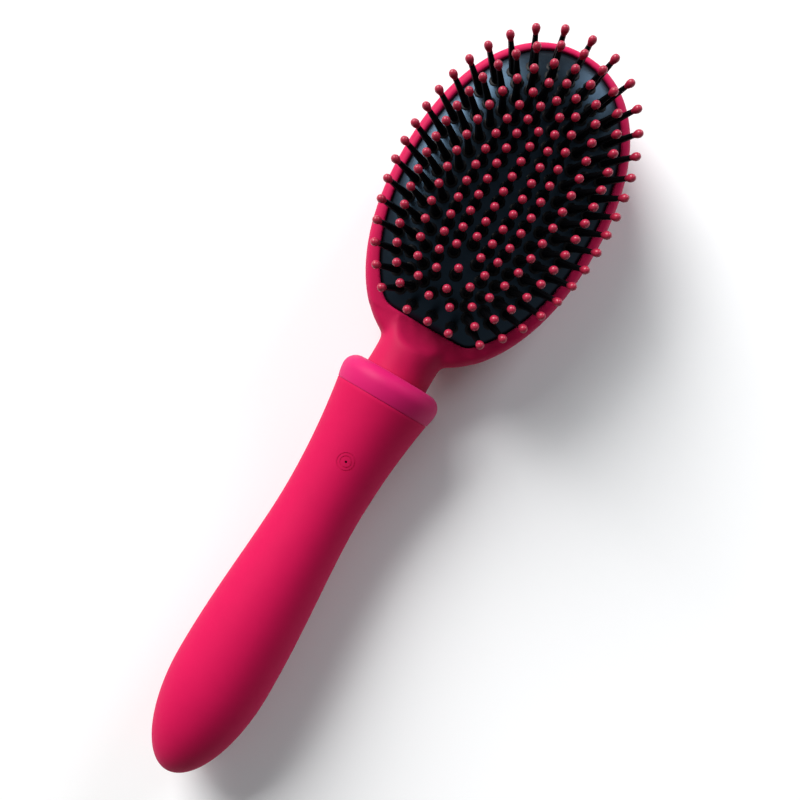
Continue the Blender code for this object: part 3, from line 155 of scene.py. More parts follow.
class NodeNet:
    """The nodes of one material or of the world."""

    def __init__(self, tree: bpy.types.NodeTree) -> None:
        """Holds a node tree."""
        self.tree = tree
        self.shader = tree.nodes.get("Principled BSDF")

    def node(
        self, kind: str, settings: dict[str, object], values: dict[str | int, object]
    ) -> bpy.types.Node:
        """Adds a node.

        Args:
            kind: The node's type.
            settings: Its properties, set first.
            values: A value, a Wire or a socket for each input, by name or number.

        Returns:
            The new node.
        """
        made = self.tree.nodes.new(kind)
        for key, value in settings.items():
            setattr(made, key, value)
        for key, value in values.items():
            self.feed(made.inputs[key], value)
        return made

    def feed(self, target: Socket, value: object) -> None:
        """Sets or links one input.

        Args:
            target: The input socket.
            value: A plain value, a Wire or an output socket.
        """
        if isinstance(value, Wire):
            self.tree.links.new(value.socket, target)
        elif isinstance(value, Socket):
            self.tree.links.new(value, target)
        else:
            target.default_value = value

    def seen(self) -> Wire:
        """Tells what the camera sees from what only lights the brush.

        Returns:
            One for what is seen directly, in a mirror or through glass, and zero elsewhere.
        """
        path = self.node("ShaderNodeLightPath", {}, {})
        rays = ("Is Camera Ray", "Is Glossy Ray", "Is Transmission Ray")
        camera, glossy, through = (Wire(self, path.outputs[ray]) for ray in rays)
        return camera + glossy + through

    def place(self, stretch: Triple = EVEN) -> Socket:
        """Object coordinates.

        Args:
            stretch: Scale of the pattern along each axis.

        Returns:
            The mapped coordinates.
        """
        source = self.node("ShaderNodeTexCoord", {}, {})
        values = {"Vector": source.outputs["Object"], "Scale": stretch}
        return self.node("ShaderNodeMapping", {}, values).outputs[0]

    def noise(self, size: float, detail: float, stretch: Triple = EVEN) -> Wire:
        """Noise about 0.5 on average, whose blobs are about size metres across."""
        values = {"Vector": self.place(stretch), "Scale": 1.0 / size, "Detail": detail}
        return Wire(self, self.node("ShaderNodeTexNoise", {}, values).outputs[0])

    def blend(self, share: Wire, low: Paint, high: Paint) -> Socket:
        """Blends two colours.

        Args:
            share: How much of the second colour shows.
            low: The first colour.
            high: The second colour.

        Returns:
            The blended colour.
        """
        values = {0: share}
        for place, paint in ((6, low), (7, high)):
            values[place] = (*paint, 1.0) if isinstance(paint, tuple) else paint
        return self.node("ShaderNodeMix", {"data_type": "RGBA"}, values).outputs[2]

    def relief(self, height: Wire, depth: float) -> None:
        """Feeds a height into the shader's normal, where a height of 1 is depth metres."""
        made = self.node("ShaderNodeBump", {}, {"Strength": 1.0, "Distance": depth, "Height": height})
        self.feed(self.shader.inputs["Normal"], made.outputs[0])


@dataclass(frozen=True)
class Finish:
    """How one kind of surface looks: its colour, its gloss and its fine relief."""

    name: str
    slot: str
    colour: Colour
    roughness: float
    metallic: float = 0.0
    coat: float = 0.0
    sheen: float = 0.0
    specular: float = 0.5
    # tint colours the surface's reflections; it is white everywhere but on the cushion, whose blue tint is
    # painted light.
    tint: Colour = WHITE
    mottle: float = 0.05
    mottle_size: float = 0.006
    grain_size: float = 0.00035
    grain_depth: float = 0.000006
    pattern: Pattern = Pattern.GRAIN
    second: Colour = (0.0, 0.0, 0.0)

    def material(self) -> bpy.types.Material:
        """Makes the finish's material, or finds the one made before.

        Returns:
            The material.
        """
        known = bpy.data.materials.get(self.name)
        if known is not None:
            return known
        material = bpy.data.materials.new(self.name)
        material.use_nodes = True
        material.diffuse_color = (*self.colour, 1.0)
        net = NodeNet(material.node_tree)
        shader = net.shader.inputs
        for name, value in (
            ("Metallic", self.metallic),
            ("Coat Weight", self.coat),
            ("Coat Roughness", self.roughness * COAT_ROUGHNESS_SHARE),
            ("Sheen Weight", self.sheen),
            ("Sheen Roughness", SHEEN_ROUGHNESS),
            ("Sheen Tint", (*SHEEN_TINT, 1.0)),
            ("Specular IOR Level", self.specular),
            ("Specular Tint", (*self.tint, 1.0)),
        ):
            net.feed(shader[name], value)
        cloud = net.noise(self.mottle_size, detail=3.0)
        low = tuple(part * (1.0 - self.mottle) for part in self.colour)
        high = tuple(min(1.0, part * (1.0 + self.mottle)) for part in self.colour)
        colour = net.blend(cloud, low, high)
        speck = net.noise(self.grain_size * SPECK_SIZE_SHARE, detail=2.0)
        net.feed(shader["Roughness"], self.roughness + (speck - 0.5) * SPECK_ROUGHNESS)
        net.feed(shader["Base Color"], self._relief(net, colour))
        return material

    def _relief(self, net: NodeNet, colour: Socket) -> Socket:
        """Adds the pattern's relief, and the marks that go with it.

        Args:
            net: The material's nodes.
            colour: The mottled colour.

        Returns:
            The colour with its marks.
        """
        if self.pattern is Pattern.TRACKS:
            return self._tracks(net, colour)
        if self.pattern is Pattern.BANDED:
            return self._bands(net, colour)
        if self.pattern is Pattern.BRUSHED:
            height = net.noise(self.grain_size, detail=4.0, stretch=BRUSHED_STRETCH)
        elif self.pattern is Pattern.PORES:
            values = {"Vector": net.place(), "Scale": 1.0 / self.grain_size}
            height = Wire(net, net.node("ShaderNodeTexVoronoi", {}, values).outputs[0])
        else:
            height = net.noise(self.grain_size, detail=3.0)
        net.relief(height, self.grain_depth)
        return colour

    def _tracks(self, net: NodeNet, colour: Socket) -> Socket:
        """Copper tracks under a board's lacquer.

        Args:
            net: The material's nodes.
            colour: The lacquer's colour.

        Returns:
            The colour with its tracks.
        """
        settings = {"wave_type": "BANDS", "bands_direction": "Y"}
        scale = TRACK_SCALE / self.grain_size
        values = {"Vector": net.place(), "Scale": scale, "Distortion": 3.0, "Detail": 0.0}
        track = Wire(net, net.node("ShaderNodeTexWave", settings, values).outputs[1]).above(TRACK_LIMIT)
        net.relief(track, self.grain_depth)
        return net.blend(track, colour, self.second)

    def _bands(self, net: NodeNet, colour: Socket) -> Socket:
        """A paler band round each end of the cell's wrap.

        Args:
            net: The material's nodes.
            colour: The wrap's colour.

        Returns:
            The colour with its bands.
        """
        apart = net.node("ShaderNodeSeparateXYZ", {}, {0: net.place()})
        low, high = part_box("battery_cell")
        middle = (low.y + high.y) / 2
        reach = (high.y - low.y) / 2
        share = (Wire(net, apart.outputs[1]) - middle).size() / reach
        band = share.above(BAND_START_SHARE)
        net.relief(net.noise(self.grain_size, detail=2.0), self.grain_depth)
        return net.blend(band, colour, self.second)


HEAD_PLASTIC = Finish(
    "soft_touch_pink", "soft_touch", (0.490, 0.007, 0.068), 0.55, sheen=0.07, specular=0.09,
    grain_depth=0.000008,
)
COLLAR_PLASTIC = Finish(
    "collar_magenta", "collar_plastic", (0.535, 0.009, 0.112), 0.50, sheen=0.07, specular=0.12,
    mottle=0.03,
)
SILICONE = Finish(
    "silicone_pink", "silicone", (0.525, 0.006, 0.068), 0.60, sheen=0.06, specular=0.06,
    grain_depth=0.000007,
)
# The cushion's reflections are painted blue by its specular tint, which stands in for bluish light from
# beyond the head's tip; the tip softbox adds only a faint real blue of its own.
CUSHION_RUBBER = Finish(
    "cushion_black", "cushion_rubber", (0.0022, 0.003, 0.0042), 0.30, specular=0.40,
    tint=(0.38, 0.67, 1.0), mottle=0.25,
)
PIN_NYLON = Finish("pin_nylon", "cushion_rubber", (0.003, 0.003, 0.004), 0.45, specular=0.12, mottle=0.1)
PIN_TIP = Finish(
    "pin_tip_coral", "soft_touch", (0.36, 0.014, 0.045), 0.32, specular=0.34, mottle=0.12,
    mottle_size=0.0012,
)
MOULDED_WHITE = Finish("core_plastic_white", "core_plastic", (0.62, 0.62, 0.60), 0.48, mottle=0.03)
MOULDED_BLACK = Finish("moulded_black", "black_plastic", (0.02, 0.02, 0.02), 0.42, mottle=0.15)
BOARD = Finish(
    "board_green", "board", (0.012, 0.12, 0.045), 0.35, coat=0.4, pattern=Pattern.TRACKS,
    second=(0.03, 0.22, 0.08),
)
LAMP = Finish("lamp_clear", "lamp", (0.86, 0.86, 0.80), 0.16, coat=0.5, mottle=0.02)
STEEL = Finish("turned_steel", "steel", (0.60, 0.60, 0.62), 0.30, metallic=1.0, pattern=Pattern.BRUSHED)
BRASS = Finish("sheet_brass", "brass", (0.72, 0.50, 0.20), 0.34, metallic=1.0, pattern=Pattern.BRUSHED)
SINTERED = Finish("sintered_weight", "weight_metal", (0.38, 0.38, 0.40), 0.46, metallic=1.0, mottle=0.2)
CELL_WRAP = Finish(
    "cell_wrap_blue", "cell_wrap", (0.04, 0.13, 0.42), 0.30, coat=0.3, pattern=Pattern.BANDED,
    second=(0.75, 0.76, 0.78),
)
SEAL_RUBBER = Finish("seal_rubber", "cushion_rubber", (0.02, 0.02, 0.022), 0.55, mottle=0.2)
FOAM = Finish(
    "open_foam", "foam", (0.08, 0.08, 0.085), 0.92, mottle=0.3, pattern=Pattern.PORES,
    grain_size=0.0004, grain_depth=0.00012,
)
LEAD_RED = Finish("insulation_red", "lead_red", (0.50, 0.02, 0.02), 0.40, mottle=0.06)
LEAD_BLACK = Finish("insulation_black", "lead_black", (0.015, 0.015, 0.016), 0.40, mottle=0.1)

FRAME_FINISHES: dict[str, Finish] = {
    "neck_o_ring": SEAL_RUBBER,
    "core_front": MOULDED_WHITE,
    "core_rear": MOULDED_WHITE,
    "circuit_board": BOARD,
    "charge_jack": MOULDED_BLACK,
    "control_chip": MOULDED_BLACK,
    "charge_led": LAMP,
    "switch_body": MOULDED_BLACK,
    "switch_plunger": MOULDED_BLACK,
    "battery_cell": CELL_WRAP,
    "battery_tab_positive": STEEL,
    "battery_tab_negative": STEEL,
    "motor_can": STEEL,
    "motor_end_cap": MOULDED_BLACK,
    "motor_boot": SEAL_RUBBER,
    "motor_terminal_red": BRASS,
    "motor_terminal_black": BRASS,
    "motor_shaft": STEEL,
    "eccentric_weight": SINTERED,
    "battery_lead_red": LEAD_RED,
    "battery_lead_black": LEAD_BLACK,
    "motor_lead_red": LEAD_RED,
    "motor_lead_black": LEAD_BLACK,
    "neck_screw_front": STEEL,
    "neck_screw_rear": STEEL,
    "core_screw_upper": STEEL,
    "core_screw_lower": STEEL,
    "board_screw_upper": STEEL,
    "board_screw_lower": STEEL,
}


def placed(name: str, data: bpy.types.ID) -> Item:
    """Puts a mesh, a light or a camera in the scene.

    Args:
        name: The object's name.
        data: What it shows.

    Returns:
        The object, at the origin.
    """
    item = bpy.data.objects.new(name, data)
    bpy.context.scene.collection.objects.link(item)
    return item


def linked(name: str, shape: Shape) -> Item:
    """Makes an object of a shape that was modelled about the handle's axis.

    Args:
        name: The object's name.
        shape: Its shape, which is used up.

    Returns:
        The object, at the origin, with its place in its mesh.
    """
    bmesh.ops.remove_doubles(shape, verts=shape.verts, dist=MERGE)
    bmesh.ops.recalc_face_normals(shape, faces=shape.faces)
    bmesh.ops.translate(shape, verts=shape.verts, vec=UP * AXIS_HEIGHT)
    mesh = bpy.data.meshes.new(name)
    shape.to_mesh(mesh)
    shape.free()
    return placed(name, mesh)


def baked(item: Item) -> None:
    """Makes an object's modifiers part of its mesh.

    Args:
        item: The object.
    """
    bpy.context.view_layer.update()
    graph = bpy.context.evaluated_depsgraph_get()
    made = bpy.data.meshes.new_from_object(item.evaluated_get(graph))
    item.modifiers.clear()
    old = item.data
    item.data = made
    bpy.data.meshes.remove(old)


def fuse(item: Item, name: str, shape: Shape, how: Fuse) -> None:
    """Joins a second solid to an object or cuts it out.

    Args:
        item: The object that is kept.
        name: What the second solid is called while it is there.
        shape: The second solid, which is used up.
        how: Whether it joins or cuts.
    """
    tool = linked(name, shape)
    modifier = item.modifiers.new("fuse", "BOOLEAN")
    modifier.operation = how.value
    modifier.solver = "EXACT"
    modifier.object = tool
    baked(item)
    bpy.data.objects.remove(tool, do_unlink=True)


def dress(item: Item, finish: Finish, body: str, nodes: Sequence[str], crease: float = 35.0) -> Item:
    """Gives a new piece its finish and its shading, puts it on its body, and hides the nodes that it stands
    for.

    Args:
        item: The piece.
        finish: Its finish.
        body: The body that it rides on.
        nodes: The nodes that it replaces.
        crease: Angle in degrees past which an edge stays sharp.

    Returns:
        The piece.
    """
    item.data.materials.clear()
    item.data.materials.append(finish.material())
    item.data.shade_smooth()
    item.data.set_sharp_from_angle(angle=math.radians(crease))
    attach(item, body)
    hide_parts(*nodes)
    LOG.info("%s: %d faces on %s", item.name, len(item.data.polygons), body)
    return item


def turned(profile: Profile, sides: int, place: Vector = ORIGIN, direction: Vector = ALONG) -> Shape:
    """Turns a profile about a line.

    Args:
        profile: Points as (distance along the line, radius). It starts and ends on the line, or it
            is taken as a closed loop.
        sides: Steps of the turn.
        place: A point on the line.
        direction: The way the line runs.

    Returns:
        The turned shape.
    """
    shape = bmesh.new()
    points = [shape.verts.new((radius, along, 0.0)) for along, radius in profile]
    edges = [shape.edges.new(pair) for pair in zip(points, points[1:])]
    if profile[0][1] > 0.0:
        edges.append(shape.edges.new((points[-1], points[0])))
    bmesh.ops.spin(
        shape, geom=points + edges, cent=ORIGIN, axis=ALONG, dvec=ORIGIN, angle=math.tau,
        steps=sides, use_merge=True, use_duplicate=False,
    )
    bmesh.ops.remove_doubles(shape, verts=shape.verts, dist=MERGE)
    turn = ALONG.rotation_difference(direction).to_matrix().to_4x4()
    bmesh.ops.transform(shape, matrix=Matrix.Translation(place) @ turn, verts=shape.verts)
    return shape


def rod(start: Vector, end: Vector, radius: float, sides: int) -> Shape:
    """A plain cylinder that cuts a hole.

    Args:
        start: Middle of one end.
        end: Middle of the other.
        radius: Its radius.
        sides: Its sides.

    Returns:
        The cylinder.
    """
    line = end - start
    profile = [(0.0, 0.0), (0.0, radius), (line.length, radius), (line.length, 0.0)]
    return turned(profile, sides, start, line.normalized())


def rounded(start: Pair, end: Pair, out: bool, steps: int) -> Points:
    """A quarter round between two points of a profile.

    Args:
        start: First point, as (along, radius).
        end: Last point.
        out: Whether the radius changes first, which bulges one way, or last.
        steps: Steps of the round.

    Returns:
        The points, with both ends.
    """
    length = end[0] - start[0]
    growth = end[1] - start[1]
    points = []
    for step in range(steps + 1):
        turn = QUARTER * step / steps
        quick = math.sin(turn)
        slow = 1.0 - math.cos(turn)
        along_share, radius_share = (slow, quick) if out else (quick, slow)
        points.append((start[0] + length * along_share, start[1] + growth * radius_share))
    return points


@dataclass(frozen=True)
class Oval:
    """An oval outline that is blunt at its tip, and may be cut straight near the neck."""

    half_width: float
    tip_reach: float
    neck_reach: float
    cut_reach: float | None = None
    tip_power: float = 2.2
    neck_power: float = 2.0
    corner_power: float = 60.0

    def reach(self, angle: float, inset: float = 0.0) -> float:
        """How far the outline is from its centre.

        Args:
            angle: Direction, from +X towards +Y.
            inset: How far the outline is drawn in.

        Returns:
            The distance in metres.
        """
        across = abs(math.cos(angle)) / (self.half_width - inset)
        along = abs(math.sin(angle))
        tipwards = math.sin(angle) >= 0.0
        length = (self.tip_reach if tipwards else self.neck_reach) - inset
        power = self.tip_power if tipwards else self.neck_power
        reach = (across**power + (along / length) ** power) ** (-1.0 / power)
        if self.cut_reach is None or tipwards:
            return reach
        ratio = reach * along / (self.cut_reach - inset)
        return reach * (1.0 + ratio**self.corner_power) ** (-1.0 / self.corner_power)


@dataclass(frozen=True)
class Ring:
    """One ring of a skin: an outline at a height, drawn in, scaled, or pulled straight inwards."""

    outline: Oval
    height: float
    inset: float = 0.0
    share: float = 1.0
    pull: float = 0.0

    def lay(self, loop: Iterable[bmesh.types.BMVert]) -> None:
        """Moves a loop of points onto the ring, each along its own direction.

        Args:
            loop: The points.
        """
        for point in loop:
            angle = math.atan2(point.co.y, point.co.x)
            reach = self.outline.reach(angle, self.inset) * self.share - self.pull
            point.co = (reach * math.cos(angle), reach * math.sin(angle), self.height)


def skinned(sides: int, rings: Sequence[Ring]) -> Shape:
    """Grows a closed skin from ring to ring about the upright line through the origin.

    Args:
        sides: Points on each ring.
        rings: The rings, from one closed end to the other.

    Returns:
        The skin.
    """
    shape = bmesh.new()
    loop = bmesh.ops.create_circle(shape, cap_ends=True, radius=1.0, segments=sides)["verts"]
    edges = list(shape.edges)
    rings[0].lay(loop)
    for ring in rings[1:]:
        grown = bmesh.ops.extrude_edge_only(shape, edges=edges)["geom"]
        loop = [part for part in grown if isinstance(part, bmesh.types.BMVert)]
        fresh = set(loop)
        new_edges = [part for part in grown if isinstance(part, bmesh.types.BMEdge)]
        edges = [edge for edge in new_edges if fresh.issuperset(edge.verts)]
        ring.lay(loop)
    bmesh.ops.contextual_create(shape, geom=edges)
    return shape


def repeated(pattern: Shape, places: Sequence[Matrix]) -> Shape:
    """Copies a small shape to many places.

    Args:
        pattern: The shape, which is used up.
        places: Where each copy goes.

    Returns:
        All copies in one shape.
    """
    mesh = bpy.data.meshes.new("pattern")
    pattern.to_mesh(mesh)
    pattern.free()
    shape = bmesh.new()
    for place in places:
        before = len(shape.verts)
        shape.from_mesh(mesh)
        shape.verts.ensure_lookup_table()
        bmesh.ops.transform(shape, matrix=place, verts=shape.verts[before:])
    bpy.data.meshes.remove(mesh)
    return shape


def smoothed(shape: Shape, points: Iterable[bmesh.types.BMVert], passes: int) -> None:
    """Smooths some points of a shape.

    Args:
        shape: The shape.
        points: The points that move.
        passes: How many times each moves half of the way to the middle of its neighbours.
    """
    for _ in range(passes):
        bmesh.ops.smooth_vert(
            shape, verts=points, factor=0.5, use_axis_x=True, use_axis_y=True, use_axis_z=True
        )


def spread(points: Sequence[Vector], count: int, looseness: float) -> list[tuple[Vector, Vector]]:
    """Places along a path, which are a little farther apart near its start.

    Args:
        points: The path.
        count: How many places there are after its start.
        looseness: How much farther apart the first ones are.

    Returns:
        Each place with its outward direction.
    """
    lengths = [0.0]
    for before, after in zip(points, points[1:]):
        lengths.append(lengths[-1] + (after - before).length)
    places = []
    index = 0
    for step in range(1, count + 1):
        part = step / count
        wanted = lengths[-1] * (part + looseness * math.sin(math.pi * part) * (1.0 - part) ** 2)
        wanted = min(wanted, lengths[-1])
        while index < len(lengths) - 2 and lengths[index + 1] < wanted:
            index += 1
        run = points[index + 1] - points[index]
        share = (wanted - lengths[index]) / (lengths[index + 1] - lengths[index])
        places.append((points[index] + run * share, Vector((-run.y, run.x, 0.0)).normalized()))
    return places


@dataclass(frozen=True)
class PinRing:
    """One ring of pins, measured in shares of the cushion's sizes.

    It runs inset_share inside the cushion's sides and setback_share inside its ends. Each side has
    side_pins, spread out by looseness near the tip, down to side_end_share of the straight edge's
    distance. Its floor_pins stand in a row at floor_share of that distance.
    """

    inset_share: float
    setback_share: float
    side_pins: int
    looseness: float
    side_end_share: float
    floor_pins: int
    floor_share: float


@dataclass
class BrushHead:
    """The head: its shell with the neck, its rubber cushion, and the cushion's pins."""

    # Shell
    rim: Oval = Oval(0.0324, 0.0507, 0.0529, neck_power=2.1)
    front: float = 0.0050
    back_wall: float = 0.0030
    land_share: float = 0.5
    bead_rise: float = 0.0042
    bead_inset: float = 0.0025
    lip: float = 0.0001
    back_steps: int = 24
    bead_steps: int = 8
    chamber_steps: int = 12
    sides: int = 192
    voxel: float = 0.00045
    smooth_passes: int = 4
    crease: float = 60.0
    # Neck, with the groove for its ring and the holes for its screws
    neck_radius: float = 0.00995
    neck_start: float = -0.0434
    neck_sides: int = 128
    spigot_radius: float = 0.0075
    spigot_start: float = -0.0681
    spigot_end: float = -0.0831
    groove_depth: float = 0.0017
    groove_half: float = 0.0010
    groove_setback: float = 0.0035
    pilot_radius: float = 0.00105
    pilot_reach: float = 0.0095
    pilot_setback: float = 0.0023
    pilot_sides: int = 24
    # Scoop at the neck's root, and where the root is smoothed
    scoop_radius: float = 0.0080
    scoop_drop: float = 0.0008
    scoop_reach: float = 0.0175
    scoop_steps: int = 48
    root_ends: tuple[float, float] = (-0.0585, -0.0436)
    root_half_width: float = 0.0180
    root_drop: float = 0.0008
    root_open_y: float = -0.0444
    root_passes: int = 40
    # Cushion
    pad: Oval = Oval(0.0291, 0.0479, 0.0481, 0.0426)
    edge_drop: float = 0.0007
    skirt: float = 0.0032
    seat_width: float = 0.0025
    seat_gap: float = 0.0001
    shoulder_width: float = 0.0180
    shoulder_slope: float = math.radians(32.0)
    cushion_wall: float = 0.0022
    under_shares: tuple[float, ...] = (0.95, 0.70, 0.50, 0.35)
    edge_insets_and_drops: Profile = ((0.0, 0.0006), (0.00006, 0.00025), (0.00025, 0.00006))
    crown_start_share: float = 0.05
    crown_steps: int = 20
    halvings: int = 24
    # Pins, with their profiles as (along, radius)
    pin_length: float = 0.0162
    tip_radius: float = 0.00132
    tip_width_share: float = 0.95
    tip_shares: Profile = (
        (-1.70, 0.0), (-1.70, 0.64), (-1.10, 0.80), (-0.50, 0.97),
        (0.05, 1.0), (0.55, 0.84), (0.88, 0.48), (1.0, 0.0),
    )
    tip_sides: int = 12
    stem_foot: Profile = ((-0.0008, 0.0), (-0.0008, 0.00136), (0.0010, 0.00130), (0.0060, 0.00108))
    stem_end_drop: float = 0.0020
    stem_end_radius: float = 0.00078
    stem_sides: int = 8
    grommet: Profile = (
        (-0.0010, 0.0), (-0.0010, 0.0021), (0.0, 0.0021),
        (0.00018, 0.0018), (0.00024, 0.0014), (0.00024, 0.0),
    )
    grommet_sides: int = 10
    pin_rings: tuple[PinRing, ...] = (
        PinRing(0.157, 0.122, 17, 0.044, 0.863, 3, 0.914),
        PinRing(0.323, 0.182, 17, 0.020, 0.813, 2, 0.786),
        PinRing(0.486, 0.243, 15, 0.0, 0.748, 1, 0.725),
        PinRing(0.645, 0.307, 13, 0.0, 0.669, 0, 0.0),
        PinRing(0.808, 0.423, 10, 0.0, 0.472, 1, 0.602),
    )
    path_steps: int = 400
    floor_pitch: float = 0.00665
    floor_lean: float = math.radians(12.0)
    tip_lean_share: float = 0.96
    neck_lean_share: float = 0.60
    column_pins: int = 8
    column_ends: tuple[float, float] = (0.01784, -0.01559)

    def build(self) -> None:
        """Builds and dresses the shell, the cushion and the pins."""
        dress(self.shell(), HEAD_PLASTIC, "brush_body", ["head_shell"], self.crease)
        cushion = dress(self.cushion(), CUSHION_RUBBER, "brush_body", ["pin_cushion"])
        places = self.pin_places()
        for name, finish, profile, sides in (
            ("pin_grommets", PIN_NYLON, self.grommet, self.grommet_sides),
            ("pin_stems", PIN_NYLON, self.stem(), self.stem_sides),
            ("pin_tips", PIN_TIP, self.tip(), self.tip_sides),
        ):
            pieces = linked(name, repeated(turned(profile, sides, ORIGIN, UP), places))
            dress(pieces, finish, "brush_body", ["pin_cushion"])

    def edge_reach(self) -> float:
        """How far the cushion's straight edge is from the head's centre."""
        return self.pad.cut_reach or self.pad.neck_reach

    def _bowl(self, outline: Oval, inset: float, low: float, high: float, steps: int) -> list[Ring]:
        """A bowl with a flat floor and a round side.

        Args:
            outline: The outline that its brim follows.
            inset: How far the brim is drawn in.
            low: Height of its floor.
            high: Height of its brim.
            steps: Steps from the floor to the brim.

        Returns:
            Its rings, from the floor up.
        """
        rings = []
        for step in range(steps + 1):
            turn = QUARTER * step / steps
            share = self.land_share + (1.0 - self.land_share) * math.sin(turn)
            rings.append(Ring(outline, low + (high - low) * (1.0 - math.cos(turn)), inset, share))
        return rings

    def _shell_rings(self) -> list[Ring]:
        """The shell's skin.

        Returns:
            Its rings, from its back over its rim and down into its chamber.
        """
        side = self.front - self.bead_rise
        seat = self.front - self.edge_drop - self.skirt - GAP
        rings = self._bowl(self.rim, 0.0, -AXIS_HEIGHT, side, self.back_steps)
        for step in range(1, self.bead_steps + 1):
            turn = QUARTER * step / self.bead_steps
            pull = self.bead_inset * (1.0 - math.cos(turn))
            rings.append(Ring(self.rim, side + self.bead_rise * math.sin(turn), pull=pull))
        rings.append(Ring(self.pad, self.front, -self.lip))
        rings.append(Ring(self.pad, self.front - self.lip))
        rings.append(Ring(self.pad, seat))
        floor = -AXIS_HEIGHT + self.back_wall
        return rings + self._bowl(self.pad, self.seat_width, floor, seat, self.chamber_steps)[::-1]

    def _neck_profile(self) -> Points:
        """The neck and the spigot.

        Returns:
            Their profile about the handle's axis.
        """
        ring_y = self.spigot_start - self.groove_setback
        groove = self.spigot_radius - self.groove_depth
        upper, lower = ring_y + self.groove_half, ring_y - self.groove_half
        return [
            (self.neck_start, 0.0), (self.neck_start, self.neck_radius),
            (self.spigot_start, self.neck_radius), (self.spigot_start, self.spigot_radius),
            (upper, self.spigot_radius), (upper, groove), (lower, groove), (lower, self.spigot_radius),
            (self.spigot_end, self.spigot_radius), (self.spigot_end, 0.0),
        ]

    def _scoop(self) -> Shape:
        """The egg that cuts the scoop at the neck's root.

        Returns:
            The egg, which lies across the brush.
        """
        profile = [(-self.scoop_reach, 0.0)]
        for step in range(1, self.scoop_steps):
            turn = math.pi * step / self.scoop_steps
            profile.append((-self.scoop_reach * math.cos(turn), self.scoop_radius * math.sin(turn)))
        profile.append((self.scoop_reach, 0.0))
        middle = Vector((0.0, -self.edge_reach(), self.front - self.scoop_drop + self.scoop_radius))
        return turned(profile, self.neck_sides, middle, ACROSS)

    def shell(self) -> Item:
        """Shell and neck in one moulding, with softened inner corners.

        Returns:
            The shell.
        """
        shell = linked("head_moulding", skinned(self.sides, self._shell_rings()))
        fuse(shell, "neck_bar", turned(self._neck_profile(), self.neck_sides), Fuse.JOIN)
        fuse(shell, "scoop", self._scoop(), Fuse.CUT)
        screw = ALONG * (self.spigot_end + self.pilot_setback)
        reach = UP * self.pilot_reach
        pilot = rod(screw - reach, screw + reach, self.pilot_radius, self.pilot_sides)
        fuse(shell, "pilot", pilot, Fuse.CUT)
        modifier = shell.modifiers.new("skin", "REMESH")
        modifier.mode = "VOXEL"
        modifier.voxel_size = self.voxel
        baked(shell)
        self._soften(shell)
        return shell

    def _soften(self, shell: Item) -> None:
        """Smooths the remeshed shell, most of all where the neck runs into the head.

        Args:
            shell: The shell.
        """
        shape = bmesh.new()
        shape.from_mesh(shell.data)
        smoothed(shape, shape.verts, self.smooth_passes)
        back, front = self.root_ends
        top = AXIS_HEIGHT + self.front - self.root_drop
        root = [
            point
            for point in shape.verts
            if back < point.co.y < front
            and abs(point.co.x) < self.root_half_width
            and (point.co.z < top or point.co.y < self.root_open_y)
        ]
        smoothed(shape, root, self.root_passes)
        shape.to_mesh(shell.data)
        shape.free()

    def crown(self, inset: float) -> float:
        """Height of the cushion's top: a rolled shoulder, then flat.

        Args:
            inset: How far in from the cushion's edge.

        Returns:
            The height above the handle's axis.
        """
        radius = self.shoulder_width / math.sin(self.shoulder_slope)
        left = max(0.0, self.shoulder_width - inset)
        drop = radius - math.sqrt(radius**2 - left**2)
        rise = radius * (1.0 - math.cos(self.shoulder_slope))
        return self.front - self.edge_drop + rise - drop

    def crown_at(self, x: float, y: float) -> float:
        """Height of the cushion's top at a place, whose inset is found by halving.

        Args:
            x: Place across the brush.
            y: Place along the brush.

        Returns:
            The height above the handle's axis.
        """
        angle = math.atan2(y, x)
        near, far = 0.0, self.shoulder_width
        for _ in range(self.halvings):
            middle = (near + far) / 2
            if self.pad.reach(angle, middle) > math.hypot(x, y):
                near = middle
            else:
                far = middle
        return self.crown(near)

    def cushion(self) -> Item:
        """The rubber cushion: a crowned skin with a skirt that stands in the shell's seat.

        Returns:
            The cushion.
        """
        bottom = self.front - self.edge_drop - self.skirt
        rings = []
        for share in self.under_shares:
            inset = self.shoulder_width * share
            rings.append(Ring(self.pad, self.crown(inset) - self.cushion_wall, inset))
        rings.append(Ring(self.pad, bottom, self.seat_width))
        rings.append(Ring(self.pad, bottom, self.seat_gap))
        for inset, drop in self.edge_insets_and_drops:
            rings.append(Ring(self.pad, self.crown(0.0) - drop, self.seat_gap + inset))
        for step in range(1, self.crown_steps + 1):
            share = self.crown_start_share + (1.0 - self.crown_start_share) * step / self.crown_steps
            inset = self.shoulder_width * share
            rings.append(Ring(self.pad, self.crown(inset), self.seat_gap + inset))
        return linked("cushion_skin", skinned(self.sides, rings))

    def stem(self) -> Points:
        """Profile of a pin's tapered stem."""
        end = self.pin_length - self.stem_end_drop
        return [*self.stem_foot, (end, self.stem_end_radius), (end, 0.0)]

    def tip(self) -> Points:
        """Profile of the drop on a pin's end, which runs down into the stem."""
        wide = self.tip_radius * self.tip_width_share
        return [(self.pin_length + self.tip_radius * along, wide * share) for along, share in self.tip_shares]

    def _ring_path(self, ring: PinRing) -> list[Vector]:
        """Fine points down one side of a pin ring.

        Args:
            ring: The pin ring.

        Returns:
            The points, from the ring's top centre to its lower end.
        """
        half_width = self.pad.half_width * (1.0 - ring.inset_share)
        tip_reach = self.pad.tip_reach * (1.0 - ring.setback_share)
        neck_reach = self.pad.neck_reach * (1.0 - ring.setback_share)
        power = 2.0 / self.pad.tip_power
        last = math.asin(min(1.0, self.edge_reach() * ring.side_end_share / neck_reach))
        points = []
        for step in range(self.path_steps + 1):
            turn = QUARTER * (1.0 - step / self.path_steps)
            across = half_width * max(0.0, math.cos(turn)) ** power
            points.append(Vector((across, tip_reach * math.sin(turn) ** power, 0.0)))
        for step in range(1, self.path_steps + 1):
            turn = last * step / self.path_steps
            points.append(Vector((half_width * math.cos(turn), -neck_reach * math.sin(turn), 0.0)))
        return points

